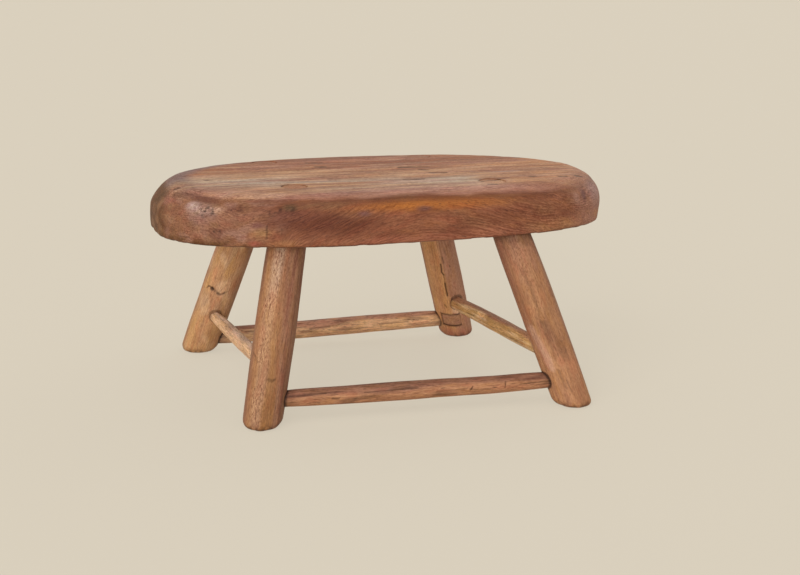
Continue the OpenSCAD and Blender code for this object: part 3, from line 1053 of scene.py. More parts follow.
# A pink bloom, then dark and pale streaks in three widths
TOP_STREAKS = [
    ((70, 13, 60), 90, (0.2, 1.0), (0.46, 0.218, 0.148), 0.5),
    ((95, 8, 60), 73, (0.2, 1.0), TOP_DARK, 0.5), ((95, 8, 60), 73, (-0.3, -1.1), TOP_PALE, 0.35),
    ((60, 4.6, 40), 87, (0.2, 0.9), TOP_DARK, 0.5), ((60, 4.6, 40), 87, (-0.3, -1.0), TOP_PALE, 0.35),
    ((34, 2.8, 30), 89, (0.3, 1.0), TOP_DARK, 0.4),
]
TOP_STAINS = [
    ((120, 70, STOOL_HEIGHT), (90, 52, 60), (0.26, 0.082, 0.026), 0.65),
    ((-192, -70, 220), (42, 32, 12), (0.39, 0.195, 0.135), 0.7),
    ((-207, -42, 220), (22, 24, 10), (0.31, 0.175, 0.125), 0.7),
]


def top_edges(p, tone):
    """The worn edge: a painted grey sheen at the far left, and browner at the near right and along the back.
    """
    x, y, z = p.T
    to_edge = (np.abs(x) / HALF_LENGTH) ** BACK_SQUARE + (np.abs(y) / HALF_WIDTH) ** BACK_SQUARE
    # Along the far left of the edge, grey is painted on as a sheen.
    far_left_sheen = smooth(0.60, 0.74, to_edge) * smooth(-80, -160, x) * smooth(-35, 5, y)
    paint(tone, far_left_sheen, (0.205, 0.130, 0.124), 0.85)
    near_right = smooth(0.66, 0.90, to_edge) * smooth(110, 170, x) * smooth(0, -40, y)
    paint(tone, near_right, (0.35, 0.160, 0.095), 0.7)
    at_back = smooth(221, 216, z) * smooth(30, 80, y) * smooth(-190, -120, x)
    paint(tone, at_back, (0.30, 0.135, 0.075), 0.7)


def top_tone(p):
    """The handled top: tan at the left, greyed along the middle, redder at the back."""
    x, y, _ = p.T
    tone = one_colour(p, WORN_TAN)
    paint(tone, smooth(5, 45, y + 12 * field(p, (70, 200, 200), 74)), BACK_RED, 0.9)
    grey_line = np.interp(x, (-220, -140, -60, 20, 90), (-28, -30, -58, -62, -66))
    grey = np.exp(-(((y - grey_line) / 34) ** 2)) * smooth(-235, -180, x) * smooth(130, 60, x)
    mottle(tone, p, [((60, 12, 60), 75, (-1.2, 0.3), GREYED, 1.0)], grey)
    mottle(tone, p, [((60, 14, 60), 76, (-1.0, 0.6), (0.485, 0.206, 0.074), 0.85)], smooth(70, 130, x))
    lay_blots(tone, p, [((20, 60, STOOL_HEIGHT), (150, 60, 60), (0.29, 0.072, 0.014), 0.7)])
    mottle(tone, p, TOP_STREAKS)
    # A few wavy lines at the back, and a pinker strip along the worn turn
    wavy = smooth(0.30, 0.08, np.abs(field(p, (85, 15, 60), 88)))
    paint(tone, wavy * smooth(15, 50, y) * smooth(-160, -120, x), (0.22, 0.085, 0.050), 0.55)
    paint(tone, smooth(-90, -106, y), (0.378, 0.180, 0.138), 0.7)
    lay_blots(tone, p, TOP_STAINS)
    near_left = near_line(p[:, :2], [(-176, -82), (-155, -90), (-132, -99)], 11)
    paint(tone, near_left, (0.45, 0.255, 0.175), 0.6)
    bluish = near_line(p[:, :2], [(98, -19), (118, -25), (142, -27)], 7)
    mottle(tone, p, [((14, 5, 14), 95, (-1.0, 0.6), (0.35, 0.235, 0.225), 0.6)], bluish)
    top_edges(p, tone)
    return tone


print("streaks on the top:", len(TOP_STREAKS), "kinds")

# %% [markdown]
# ## Marks of use and painted light on the seat
# Small marks lie over everything else, so they come last: a swelling at the left with a painted
# highlight and specks of dirt, painted shade in the crease above it, dirt on the left end where hands
# don't rub, a painted shade along the lower edge, checks, and dark rims round the tenons. Decals would
# need images, so each mark is a short line or a small blot.

# %% Marks on the seat
OLIVE_DIRT = (0.098, 0.040, 0.009)
# Colours of the painted highlight on the swelling at the left
HIGHLIGHT_PINK = (0.45, 0.29, 0.22)
HIGHLIGHT_LILAC = (0.29, 0.175, 0.155)
LEFT_END_PATCHES = [
    ((11, 11, 8), 93, (-0.2, 1.2), OLIVE_BROWN, 0.55),
    ((10, 10, 7), 94, (0.0, 1.2), (0.32, 0.165, 0.08), 0.4),
]
LEFT_END_CRACK = [(-231, -20, 210), (-229, -27, 203), (-230, -25, 195), (-227, -33, 186)]
# Dark, wavy marks over the tenon of the front right leg, as lines in the plan of the seat
TENON_MARKS = [
    ((78, -77.5), (86, -76), (93, -74), (98, -75.5)),
    ((100, -72.5), (104, -71), (109, -73)),
    ((80, -96), (89, -98)),
]


def swelling_highlight_and_marks(p, tone):
    """The left swelling: painted highlight, specks of dirt, painted shade in the crease, marks round it."""
    # The pale pink, lilac, whitish and tan blots over the swelling are a painted highlight, partly broken
    # up.
    highlight_breakup = 0.5 + 0.5 * smooth(-1.0, 0.6, field(p, (5, 5, 3.5), 91))
    lay_blots(tone, p, [((-200, -81, 203), (25, 22, 14), HIGHLIGHT_LILAC, 0.45)])
    lay_blots(tone, p, [((-200, -81, 208.5), (24, 21, 8.5), HIGHLIGHT_PINK, 0.64)], highlight_breakup)
    lay_blots(tone, p, [((-206, -74, 210), (12, 11, 6), (0.56, 0.43, 0.41), 0.5)])
    lay_blots(tone, p, [((-186, -92, 209), (9, 9, 5), (0.45, 0.26, 0.17), 0.8)], highlight_breakup)
    specks = smooth(0.3, 0.65, field(p, (2.2, 2.2, 2.0), 77))
    lay_blots(tone, p, [((-196, -86, 206.5), (16, 14, 9), (0.060, 0.032, 0.024), 1.0)], specks)
    lay_blots(tone, p, [((-201, -60, 219), (26, 26, 6), (0.35, 0.165, 0.115), 0.7)])
    # Painted shade: dark in the crease over the swelling, and a thin line of it along the worn turn.
    crease_shade = near_line(p, LEFT_HOLLOW, 6.5) * (0.5 + 0.5 * smooth(-1.0, 0.6, field(p, (10, 10, 10), 83)))
    paint(tone, crease_shade * smooth(-178, -192, p[:, 0]), (0.13, 0.045, 0.026), 0.85)
    thin_shade_line = [(-190, -82.5, 215.8), (-176, -91, 215.9), (-150, -101, 216.6), (-120, -108, 217)]
    paint(tone, near_line(p, thin_shade_line, 3.6), (0.17, 0.060, 0.032), 0.6)
    for dot in ((-191.7, -93.3, 189.1), (-187.1, -95.9, 189.4)):
        shade(tone, blot(p, dot, (2.2, 2.2, 1.8)), 0.75)
    olive_edge = near_line(p, [(-144, -111, 208), (-132, -112.4, 210), (-121, -114.5, 210.2)], 3.2)
    shade(tone, olive_edge * smooth(-0.6, 0.6, field(p, (3, 3, 3), 78)), 0.6)
    shade(tone, near_line(p, [(-146.3, -112, 196), (-146.8, -112, 184)], 1.3), 0.6)
    shade(tone, near_line(p, [(-133, -115.5, 193), (-133.5, -115.5, 186)], 1.2), 0.4)


def left_end_dirt_and_lower_shade(p, tone):
    """Dirt on the left end and low left, where hands don't rub, and painted shade along the lower edge."""
    x, y, z = p.T
    left_end = np.maximum(smooth(-226, -234.5, x), smooth(-48, -20, y) * smooth(-210, -224, x))
    left_end *= smooth(220, 212, z)
    paint(tone, left_end, (0.137, 0.045, 0.013), 0.85)
    paint(tone, left_end * (0.45 + 0.4 * smooth(-1.0, 1.0, field(p, (14, 14, 9), 79))), OLIVE_DIRT, 0.9)
    shade(tone, left_end * smooth(0.2, 0.8, field(p, (3, 3, 3), 92)), 0.2)
    mottle(tone, p, LEFT_END_PATCHES, smooth(-205, -220, x) * smooth(214, 206, z))
    broken = 0.4 + 0.6 * smooth(-0.5, 0.6, field(p, (5, 5, 5), 97))
    paint(tone, near_line(p, LEFT_END_CRACK, 2.6) * broken, (0.045, 0.026, 0.011), 0.8)
    crack_foot = near_line(p, [LEFT_END_CRACK[-1], (-221, -44, 180)], 3.5)
    paint(tone, crack_foot * broken, (0.050, 0.030, 0.012), 0.7)
    lay_blots(tone, p, [((-221, -42, 189), (7, 9, 4), (0.080, 0.042, 0.020), 0.55)])
    low_left = smooth(-135, -175, x) * smooth(184, 177, z)
    mottle(tone, p, [((8, 8, 5), 80, (-0.8, 0.4), OLIVE_DIRT, 0.85)], low_left)
    # The lowest 2.5 mm of the plank, all round, is darkened as painted shade.
    shade(tone, smooth(UNDERSIDE + 2.5, UNDERSIDE, z), 0.35)


def tenon_dirt(p, tone):
    """Dirt round and over the front tenons' ends, in the plan of the seat."""
    for name, strength in (("front_left", 0.32), ("front_right", 0.08)):
        away = p[:, :2] - leg_centre(LEGS[name], STOOL_HEIGHT)[:2]
        rim = np.linalg.norm(away, axis=1)
        toward = (-0.75 * away[:, 0] - 0.66 * away[:, 1]) / np.maximum(rim, 1)
        width = 1.3 + 3.0 * smooth(-0.1, 0.9, -away[:, 1] / np.maximum(rim, 1))
        outside = smooth(TENON_RADIUS + width, TENON_RADIUS + 0.3, rim)
        inside = smooth(TENON_RADIUS - 0.6 - 0.6 * width, TENON_RADIUS - 0.4, rim)
        shade(tone, outside * inside * (0.4 + 0.6 * smooth(-0.5, 0.4, toward)), strength)
    for line in TENON_MARKS:
        paint(tone, near_line(in_plan(p), in_plan(line), 1.7), (0.115, 0.050, 0.025), 0.85)


print("marks over the tenons:", len(TENON_MARKS))

# %% [markdown]
# ## The whole seat
# Now front and top are joined along the worn turn, softly, as a hand would round it.
# The grain layer puts the tree's heart far below the plank, so that its growth rings cross the front
# as long arches. Bending the places down towards the middle makes those arches steeper, as in a
# plank sawn near a branch.

# %% Tone and grain of the seat
def seat_tone(p):
    """The colour of the plank everywhere, down into its mortises."""
    x, y, z = p.T
    tone = front_tone(p)
    edge_height = np.where(y < 0, turn_height(x), 214.0)
    soft = 2.2 * smooth(110, 180, x) + 1.5 * smooth(-150, -185, x)
    uneven_height = z + 0.6 * field(p, (16, 16, 16), 72)
    on_top = smooth(edge_height - 2.4 - soft, edge_height + 1.8 + soft, uneven_height)
    tone += on_top[:, None] * (top_tone(p) - tone)
    swelling_highlight_and_marks(p, tone)
    left_end_dirt_and_lower_shade(p, tone)
    check_noise = (0.5 + 0.5 * smooth(-1.0, 0.4, field(p, (4, 3, 4), 81))) * smooth(200, 215, z)
    for check in TOP_CHECKS:
        paint(tone, near_line(in_plan(p), in_plan(check), 2.1) * check_noise, (0.085, 0.040, 0.022), 0.95)
    before_dirt = tone.copy()
    tenon_dirt(p, tone)
    tone[z < 215] = before_dirt[z < 215]
    # Inside each mortise, below its rim, the plank is painted dark as painted shade in the gap.
    for leg in LEGS.values():
        distance = leg_places(leg, p)[2]
        inside = smooth(TENON_RADIUS + 2.2, TENON_RADIUS + 1.2, distance) * smooth(221.2, 218, z)
        shade(tone, inside, 0.8)
    return tone


def seat_grain(p):
    """The plank lay well above the tree's heart, and its fibres arch along the front."""
    x, y, z = p.T
    below_top = smooth(0, 10, STOOL_HEIGHT - z)
    arch = 62 * np.exp(-((x / np.where(x < 0, 112, 165)) ** 2)) * below_top
    swirl = 11 * np.exp(-((np.linalg.norm(p - (-200, -84, 200), axis=1) / 24) ** 2))
    swirl -= 9 * np.exp(-((np.linalg.norm(p - (-132, -116, 174), axis=1) / 13) ** 2))
    return np.stack([y + 25, z - UNDERSIDE + 140 - arch - swirl * below_top, x], axis=1)


def seat_strengths(p):
    """How strongly the flecks and the lines of the grain show."""
    x, _, z = p.T
    on_top = smooth(214, 220, z)
    at_left_end = smooth(-212, -226, x)
    at_right_end = smooth(212, 228, x) * (1 - on_top)
    to_the_right = smooth(20, 90, x) * (1 - on_top)
    at_specks = blot(p, (-196, -86, 207.5), (15, 14, 9))
    in_ochre = blot(p, (12, -122, 210.5), (120, 26, 10))
    flecks = 1.25 + 0.15 * on_top + 0.2 * at_left_end + 1.4 * at_specks - 0.7 * at_right_end
    lines = 1.05 + 0.25 * on_top + 0.3 * to_the_right - 0.5 * at_right_end - 0.6 * in_ochre
    return flecks, lines - 0.4 * at_left_end * (1 - on_top)


seat_points = places_of(seat)
keep_layers(seat, seat_grain(seat_points), seat_tone(seat_points), *seat_strengths(seat_points))
print("seat tone from", len(seat_points), "points")

# %% [markdown]
# ## The legs' colour
# The legs are a lighter wood than the seat, tan to golden, and were handled less. Each shows another
# side of its tree: a coarse, pale band with specks down the front left one, a reddish side on the
# back right one. These are worked out in turns and heights, so they run down the leg as grain does.
# Painted light lies over them: a painted highlight along that pale band, along the front right leg's
# ridge and beside a socket, painted shade on sides away from the light, in the flute and under the seat,
# and each leg painted paler or darker as a whole.

# %% Tone of the legs
LEG_TAN = (0.43, 0.215, 0.100)
LEG_GOLD = (0.45, 0.235, 0.095)
LEG_PINK = (0.33, 0.150, 0.082)
LEG_OCHRE = (0.36, 0.165, 0.060)
# This pale colour serves for pale patches of wood and for painted highlights.
LEG_PALE_AND_HIGHLIGHT = (0.56, 0.345, 0.205)
# How much paler or darker than this each leg is painted, in red, green and blue. This is painted light:
# the back legs are painted paler for the light the seat keeps from them, and the front ones darker.
LEG_LIGHT_BALANCE = {
    "front_left": (0.80, 0.775, 0.76), "front_right": (0.85, 0.81, 0.85),
    "back_left": (1.06, 1.12, 1.12), "back_right": (1.24, 1.28, 1.26),
}
# The tenon's end in the seat's top is end grain, handled as much as the plank beside it
END_TONES = {
    "front_left": (0.38, 0.165, 0.075), "front_right": (0.50, 0.265, 0.145),
    "back_left": (0.31, 0.130, 0.066), "back_right": (0.31, 0.130, 0.066),
}
# The pale band down the front left leg: turns and heights
PALE_BAND = ((-121, -130, -129, -128, -128), (168, 116, 84, 50, 10))


def leg_sides(name, tone, turns, heights, own):
    """Each leg's own marks: pale band, redder side, flute, and painted highlights and shade."""
    surface = on_leg(turns, heights)
    if name == "front_left":
        # The front left leg's right third is painted darker as painted shade, with red streaks in it.
        border = np.interp(heights, (0, 60, 170), (-76, -82, -98))
        shaded_right_third = smooth(-6, 8, turns - border)
        paint(tone, shaded_right_third, (0.370, 0.184, 0.104), 0.95)
        mottle(tone, own, [((2.6, 2.6, 40), 59, (0.2, 0.9), (0.26, 0.105, 0.066), 0.6)], shaded_right_third)
        low_front = smooth(-115, -108, turns) * smooth(-72, -80, turns) * smooth(60, 25, heights)
        paint(tone, low_front, LEG_OCHRE, 0.7)
        # The coarse pale band carries a painted highlight, paler still near the top.
        pale_highlight_band = near_line(surface, on_leg(*PALE_BAND), 8.5)
        paint(tone, pale_highlight_band, LEG_PALE_AND_HIGHLIGHT, 0.36)
        paint(tone, pale_highlight_band * smooth(110, 150, heights), (0.62, 0.46, 0.36), 0.3)
        shade(tone, smooth(80, 40, heights), 0.09)
        paint(tone, smooth(-152, -168, turns), LEG_PINK, 0.7)
    if name == "front_right":
        paint(tone, smooth(-148, -172, turns) * smooth(40, 110, heights), LEG_PINK, 0.75)
        paint(tone, smooth(120, 165, heights), (0.30, 0.145, 0.085), 0.55)
        shade(tone, smooth(52, 80, heights) * smooth(150, 115, heights), 0.12)
        # A painted highlight along the worn ridge, and painted shade in the flute beside it.
        paint(tone, near_line(surface, on_leg(*FLUTE_RIDGE), 7.5), (0.56, 0.33, 0.215), 0.6)
        broken = 0.5 + 0.5 * smooth(-0.8, 0.6, field(own, (3, 3, 16), 60))
        paint(tone, near_line(surface, on_leg(*FLUTE), 15) * broken, (0.27, 0.125, 0.058), 0.6)
        paint(tone, near_line(surface, on_leg(*FLUTE), 5) * broken, (0.20, 0.088, 0.040), 0.5)
        # More painted shade just under the seat.
        shade(tone, smooth(UNDERSIDE - 16, UNDERSIDE - 4, heights), 0.25)
    if name == "back_right":
        paint(tone, smooth(-114, -100, turns), (0.315, 0.150, 0.090), 0.95)
        paint(tone, smooth(-150, -122, turns) * smooth(-112, -122, turns), LEG_OCHRE, 0.6)
        paint(tone, smooth(18, 6, heights), (0.31, 0.125, 0.075), 0.8)
        # A pale spot below the right rod's socket is a painted highlight.
        paint(tone, near_line(surface, on_leg([-98, -88], [37, 33]), 5), LEG_PALE_AND_HIGHLIGHT, 0.7)
    if name == "back_left":
        mottle(tone, own, [((9, 9, 16), 57, (0.1, 0.9), LEG_PALE_AND_HIGHLIGHT, 0.5)])
        mottle(tone, own, [((8, 8, 20), 58, (0.2, 0.9), (0.36, 0.20, 0.115), 0.5)])
        # The right side is painted pinker and darker, as painted shade away from the light.
        paint(tone, smooth(-88, -56, turns), LEG_PINK, 0.5)
        paint(tone, smooth(70, 30, heights), (0.37, 0.190, 0.075), 0.4)


print("pale band on the front left leg:", len(PALE_BAND[0]), "places")

# %% [markdown]
# ## Dark hollows and joints
# Where sockets and cracks go in, the wood is dark with age and no light reaches it. Real shadow alone
# is too weak in such thin gaps, so they are painted nearly black, from how deep each point lies under
# the leg's plain face.

# %% Hollows of the legs
GAP_BLACK = (0.016, 0.009, 0.007)


def leg_hollows(name, tone, turns, heights, distance, points):
    """Darkens the insides and rims of the sockets, and the line round the patch."""
    depth = body_radius(heights) - distance
    for rod_name, rod in RODS.items():
        if name not in rod["legs"]:
            continue
        worn_up = WORN_UP[rod_name][rod["legs"].index(name)]
        along, rod_turns, radius, _ = rod_places(rod, points)
        facing = smooth(-8, -6, along) * smooth(-8, -6, rod_line(rod)[1] - along)
        reach = rod["thick"][1] / 2 + worn_up * smooth(80, 30, np.abs(rod_turns))
        deep = smooth(0.5, 1.8, depth)
        paint(tone, smooth(reach + 2.6, reach + 1.6, radius) * facing * deep, GAP_BLACK)
        rim = smooth(reach + 1.6, reach + 0.8, radius) * facing * (1 - deep)
        shade(tone, rim, 0.85 if rod_name == "front" else 0.6)
    if name == "back_right":
        in_patch = smooth(10, 13, heights) * smooth(40, 37, heights)
        shade(tone, smooth(1.0, 1.8, depth) * in_patch, 0.9)
        from_edge = np.abs(np.abs(heights - patch_middle(turns)) - PATCH_HEIGHT / 2 - 0.7)
        first, last = PATCH_TURNS
        between = smooth(first - 4, first, turns) * smooth(last + 4, last, turns)
        shade(tone, smooth(1.4, 0.4, from_edge) * between, 0.55)


def leg_tone(name, points):
    """The colour of a leg, from its foot to the end of its tenon."""
    turns, heights, distance, own = leg_places(LEGS[name], points)
    seed = LEGS[name]["seed"]
    tone = one_colour(points, LEG_TAN)
    mottle(tone, own, [((9, 9, 70), seed + 51, (-0.3, 1.0), LEG_GOLD, 0.6)])
    mottle(tone, own, [((7, 7, 60), seed + 52, (0.0, 1.2), LEG_PINK, 0.5)])
    leg_sides(name, tone, turns, heights, own)
    # Each leg painted paler or darker as a whole, as painted light.
    tone *= LEG_LIGHT_BALANCE[name]
    # Painted shade just under the seat, where the leg meets the plank.
    shade(tone, smooth(UNDERSIDE - 11, UNDERSIDE - 1, heights), 0.3)
    shade(tone, smooth(9, 1.5, heights) * smooth(-1.0, 0.5, field(own, (3, 3, 4), seed + 55)), 0.65)
    for line, half_width, _, darkness in scar_lines(name):
        shade(tone, near_line(on_leg(turns, heights), line, half_width * 1.3), darkness)
    # The tenon inside the plank is painted dark, as painted shade in the mortise's gap.
    shade(tone, smooth(UNDERSIDE + 0.5, UNDERSIDE + 2, heights), 0.8)
    end_tone = one_colour(points, END_TONES[name])
    tenon_dirt(points, end_tone)
    tone += smooth(STOOL_HEIGHT - 2.5, STOOL_HEIGHT - 1.2, heights)[:, None] * (end_tone - tone)
    leg_hollows(name, tone, turns, heights, distance, points)
    return tone


print("sockets to darken:", sum(len(rod["legs"]) for rod in RODS.values()))

# %% [markdown]
# ## The legs' grain
# A leg was split from a round of wood, so its heart lies to one side, and a different side in each
# leg. The flecks are given their strength here too, since they belong to the grain.

# %% Grain of the legs
def leg_grain(name, points):
    """Places along the leg, with the heart of the tree to one side of it."""
    leg = LEGS[name]
    own = leg_places(leg, points)[3]
    aside = np.random.default_rng(leg["seed"]).uniform(-26, 26, 2)
    return own + np.array([*aside, 300.0 * leg["seed"]])


def leg_flecks(name, points):
    """All legs are coarser at the top, and the front ones along a band down them."""
    turns, heights, _, own = leg_places(LEGS[name], points)
    strength = 0.9 + 0.4 * smooth(110, 165, heights)
    if name == "front_left":
        band = near_line(on_leg(turns, heights), on_leg(*PALE_BAND), 9.5)
        strength += 1.9 * band * smooth(-1.6, 0.4, field(own, (20, 20, 24), 56))
    if name == "front_right":
        strength += 0.3 * near_line(on_leg(turns, heights), on_leg([-118, -108, -104], [168, 125, 95]), 9)
    return strength


for name, piece in legs.items():
    leg_points = places_of(piece)
    keep_layers(piece, leg_grain(name, leg_points), leg_tone(name, leg_points), leg_flecks(name, leg_points))
print("tone on", len(legs), "legs")

# %% [markdown]
# ## The rods' colour
# The rods catch the dust on their upper sides, which are darker on all but the left one. The front rod
# is brown, the right one golden, and the other two are pale, and painted paler still as painted light
# under the seat. Near the legs the rods are darkened as painted shade. An image wrapped round a rod
# would show a seam, so all of this is told by turns and lengths. A dark line lies round each rod where it
# goes into a leg, found from how near its points are to that leg's face. Inside the leg the rod is
# painted nearly black, as painted shade in the socket.

# %% Tone of the rods
# Each rod: the colour of its body and of its upper side, how far round that reaches, in degrees,
# and how dark its streaks, its painted shade at the ends and its outline at the legs are.
# The back and left bodies are pale wood, painted paler still as painted light.
ROD_TONES = {
    "front": ((0.38, 0.18, 0.090), (0.28, 0.129, 0.078), 50, 0.45, 0.35, 0.85),
    "back": ((0.74, 0.44, 0.238), (0.54, 0.26, 0.160), 44, 0.45, 0.35, 0.8),
    "left": ((0.66, 0.405, 0.232), (0.72, 0.48, 0.33), 22, 0.2, 0.15, 0.25),
    "right": ((0.555, 0.312, 0.120), (0.43, 0.20, 0.108), 30, 0.2, 0.15, 0.25),
}


def rod_tone(name, points):
    """The colour of a rod: its dusty upper side, streaks, nicks, joints and painted shade at the legs."""
    rod = RODS[name]
    along, turns, _, own = rod_places(rod, points)
    length = rod_line(rod)[1]
    body, upper, reach, streaked, ends, outlined = ROD_TONES[name]
    tone = one_colour(points, body)
    wander = 12 * field(own, (30, 30, 40), rod["seed"] + 2)
    upper_side = smooth(reach + 12, reach - 12, np.abs(turns - 8 + wander))
    paint(tone, upper_side, upper, 0.9)
    shade(tone, smooth(0.2, 1.1, field(own, (3, 3, 26), rod["seed"] + 3)), streaked)
    # Painted shade near both ends, where the rod meets the legs.
    shade(tone, smooth(34, 20, along) + smooth(34, 20, length - along), ends)
    # The back rod has more painted shade at its left end, by the back left leg.
    if name == "back":
        shade(tone, smooth(85, 45, along), 0.45)
    if name == "right":
        mottle(tone, own, [((2.6, 2.6, 40), 96, (0.1, 0.9), (0.77, 0.56, 0.34), 0.55)], 1 - upper_side)
    for leg in rod["legs"]:
        _, heights, distance, _ = leg_places(LEGS[leg], points)
        above_face = distance - body_radius(heights)
        shade(tone, smooth(2.4, 0.8, above_face), outlined)
        # Inside the leg the rod is painted nearly black, as painted shade in the socket.
        paint(tone, smooth(0.2, -0.9, above_face), GAP_BLACK)
    for line, half_width, _, darkness in nick_lines(name):
        shade(tone, near_line(on_rod(name, along, turns), line, half_width * 1.3), darkness)
    return tone


for name, piece in rods.items():
    rod_points = places_of(piece)
    own_places = rod_places(RODS[name], rod_points)[3]
    grain_places = own_places + np.array([5.0, -9.0, 400.0 * RODS[name]["seed"]])
    keep_layers(piece, grain_places, rod_tone(name, rod_points))
print("tone on", len(rods), "rods")

# %% [markdown]
# ## The patch's colour
# The patch is duller than its leg, since its fibres run across. So its places in the log are those
# along the leg, with the first and the last axis changed round. It is darker along its rim, and its left
# end is painted darker as painted shade.

# %% Tone of the patch
patch_points = places_of(patch)
patch_turns, patch_heights, _, patch_own = leg_places(LEGS["back_right"], patch_points)
patch_tone = one_colour(patch_points, (0.36, 0.18, 0.095))
mottle(patch_tone, patch_own, [((6, 6, 3), 62, (-0.2, 0.9), (0.30, 0.14, 0.085), 0.6)])
# The patch's left end is painted darker, as painted shade.
shade(patch_tone, smooth(PATCH_TURNS[0] + 7, PATCH_TURNS[0] + 1, patch_turns), 0.6)
from_rim = PATCH_HEIGHT / 2 - np.abs(patch_heights - patch_middle(patch_turns))
shade(patch_tone, smooth(1.4, 0.3, from_rim), 0.85)
keep_layers(patch, patch_own[:, [2, 1, 0]] + np.array([40.0, 12.0, 900.0]), patch_tone)
print("tone on the patch from", len(patch_points), "points")

# %% [markdown]
# ## The wood material
# One recipe makes every wood here, with its own numbers for each kind. It starts from the four layers.
# The place in the log, bent a little by slow noise, gives growth rings by its distance from the heart,
# and streaks and pores by noise that is stretched along the fibres. All of it only shades and tints the
# tone a little, so the painted colours stay true. The same patterns drive the roughness and a fine bump.
# An image of wood would repeat, and wouldn't wrap round the ends: this grain goes right through.

# %% Wood recipe
# What each pattern does to the tone, as shares of its red, green and blue
DARKER = (0.50, 0.38, 0.34, 1)
PALER = (1.36, 1.40, 1.40, 1)
REDDER = (1.06, 0.86, 0.84, 1)
MORE_GOLDEN = (1.05, 1.00, 0.80, 1)
PORE_BROWN = (0.06, 0.028, 0.02, 1)
# How far the rings wander from true circles, counted in rings
RING_WANDER = 2.2
BUMP_STRENGTH, BUMP_METRES = 0.5, 0.0005


class WoodRecipe(Recipe):
    """A recipe with the steps that only wood needs."""

    def layer(self, name, output):
        """One of the layers on the mesh."""
        return self.node("ShaderNodeAttribute", attribute_name=name).outputs[output]

    def noise(self, places, width, length, detail=2.0, roughness=0.5):
        """Noise drawn out along the fibres, with a width and a length in millimetres."""
        drawn = self.vector("MULTIPLY", places, (1 / width, 1 / width, 1 / length))[0]
        inputs = {"Vector": drawn, "Scale": 1.0, "Detail": detail, "Roughness": roughness}
        return self.node("ShaderNodeTexNoise", inputs).outputs

    def blend(self, share, first, second, kind="MIX"):
        """One colour, turned into another by a share."""
        inputs = {0: share, 6: first, 7: second}
        return self.node("ShaderNodeMix", inputs, data_type="RGBA", blend_type=kind).outputs[2]

    def tint(self, colour, pattern, strength, aim):
        """The colour, turned towards another where a pattern is 1."""
        return self.blend(self.math("MULTIPLY", pattern, strength), colour, aim)


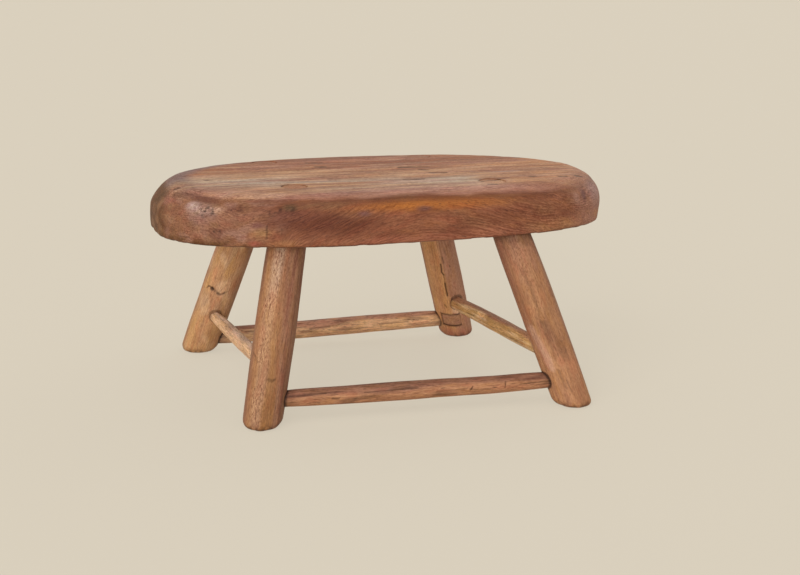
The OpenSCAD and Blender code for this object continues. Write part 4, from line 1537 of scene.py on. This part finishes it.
def wood(name, rings, streaks, flecks, pores, rough, bend):
    """Old wood. Rings, streaks, flecks and pores have sizes in millimetres, then how strongly they show."""
    finish = bpy.data.materials.new(name)
    r = WoodRecipe(finish)
    grain, tone = r.layer("grain", "Vector"), r.layer("tone", "Color")
    coarse, lined = r.layer("flecks", "Fac"), r.layer("lines", "Fac")
    centred = r.vector("SUBTRACT", r.noise(grain, 26, 95)["Color"], (0.5, 0.5, 0.5))[0]
    bent = r.vector("ADD", grain, r.vector("MULTIPLY", centred, (bend * 2, bend * 2, bend * 2))[0])[0]
    # Growth rings: slow from pale early wood to dark late wood, then a sharp step back
    ring_gap, ring_depth = rings
    from_heart = r.vector("LENGTH", r.vector("MULTIPLY", bent, (1, 1, 0))[0])["Value"]
    even_count = r.math("DIVIDE", from_heart, ring_gap)
    phase = r.math("FRACT", r.math("MULTIPLY_ADD", r.noise(bent, 8, 50)["Fac"], RING_WANDER, even_count))
    ring = r.math("MULTIPLY", r.ramp(phase, 0.2, 0.85), r.ramp(phase, 1.0, 0.88))
    strong = r.ramp(r.noise(bent, 14, 45, detail=1.0)["Fac"], 0.35, 0.62)
    # Streaks, flecks and pores: noise drawn out along the fibres, long and short
    streak = r.noise(bent, *streaks[:2], detail=3.0, roughness=0.65)["Fac"]
    fleck = r.noise(bent, *flecks[:2], detail=2.0, roughness=0.7)["Fac"]
    pore = r.ramp(r.noise(bent, *pores[:2], detail=1.0)["Fac"], 0.62, 0.74)
    blotches = r.noise(bent, 12, 34, detail=3.0)["Fac"]
    hue = r.noise(bent, 7, 22)["Fac"]
    # Colour
    darker = r.blend(1.0, tone, DARKER, "MULTIPLY")
    paler = r.blend(1.0, tone, PALER, "MULTIPLY")
    redder = r.blend(1.0, tone, REDDER, "MULTIPLY")
    golden = r.blend(1.0, tone, MORE_GOLDEN, "MULTIPLY")
    ring_share = r.math("MULTIPLY", lined, ring_depth)
    streak_share = r.math("MULTIPLY", lined, streaks[2])
    fleck_share = r.math("MULTIPLY", coarse, flecks[2])
    colour = r.tint(tone, r.ramp(hue, 0.50, 0.68), 0.7, redder)
    colour = r.tint(colour, r.ramp(hue, 0.50, 0.34), 0.7, golden)
    colour = r.tint(colour, r.math("MULTIPLY", ring, strong), ring_share, darker)
    colour = r.tint(colour, r.ramp(streak, 0.50, 0.70), streak_share, darker)
    colour = r.tint(colour, r.ramp(streak, 0.49, 0.30), streak_share, paler)
    colour = r.tint(colour, r.ramp(fleck, 0.50, 0.70), fleck_share, darker)
    colour = r.tint(colour, r.ramp(fleck, 0.50, 0.30), fleck_share, paler)
    colour = r.tint(colour, pore, pores[2], PORE_BROWN)
    colour = r.tint(colour, r.ramp(blotches, 0.50, 0.72), 0.3, darker)
    # Surface
    roughness = r.math("MULTIPLY_ADD", fleck, 0.24, rough - 0.12)
    relief = r.math("MULTIPLY_ADD", r.math("MULTIPLY", fleck, coarse), 0.7, r.math("MULTIPLY", streak, 0.7))
    relief = r.math("SUBTRACT", relief, r.math("MULTIPLY", pore, 0.8))
    relief = r.math("SUBTRACT", relief, r.math("MULTIPLY", ring, 0.2))
    bumps = {"Strength": BUMP_STRENGTH, "Distance": BUMP_METRES, "Height": relief}
    bump = r.node("ShaderNodeBump", bumps).outputs[0]
    looks = {"Base Color": colour, "Roughness": roughness, "Normal": bump, "Specular IOR Level": 0.2}
    surface = r.node("ShaderNodeBsdfPrincipled", looks).outputs[0]
    r.node("ShaderNodeOutputMaterial", {"Surface": surface})
    return finish


print("steps for wood alone:", ", ".join(step for step in vars(WoodRecipe) if not step.startswith("_")))

# %% [markdown]
# ## A wood for each kind of piece
# The plank shows bold rings, since it was sawn across them. The legs were split along the fibres, so
# their rings hardly show and the flecks do. The rods, whittled from thin stuff, are streaked most.
# Rings have a gap and a strength. The others have a width, a length and a strength.

# %% Give each piece its wood
seat_wood = wood("seat wood", rings=(2.3, 0.6), streaks=(1.5, 30, 0.6), flecks=(1.1, 4, 0.5),
                 pores=(0.9, 6, 0.5), rough=0.56, bend=4.0)
leg_wood = wood("leg wood", rings=(2.6, 0.25), streaks=(1.2, 34, 0.45), flecks=(1.1, 3.4, 0.5),
                pores=(0.9, 6, 0.3), rough=0.6, bend=3.0)
rod_wood = wood("rod wood", rings=(2.2, 0.3), streaks=(1.2, 20, 0.8), flecks=(1.0, 4.5, 0.45),
                pores=(0.9, 7, 0.7), rough=0.6, bend=3.0)
patch_wood = wood("patch wood", rings=(2.0, 0.3), streaks=(1.2, 20, 0.35), flecks=(1.0, 3.0, 0.45),
                  pores=(0.8, 4, 0.3), rough=0.65, bend=3.0)

dressed = [(seat, "seat", "seat_wood", seat_wood), (patch, "leg_patch", "patch_wood", patch_wood)]
dressed += [(piece, f"leg_{name}", "leg_wood", leg_wood) for name, piece in legs.items()]
dressed += [(piece, f"stretcher_{name}", "stretcher_wood", rod_wood) for name, piece in rods.items()]
for piece, node, slot, finish in dressed:
    piece.data.materials.clear()
    piece.data.materials.append(finish)
    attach(piece, "root")
    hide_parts(node)
print("dressed:", ", ".join(piece.name for piece, *_ in dressed))

# %% [markdown]
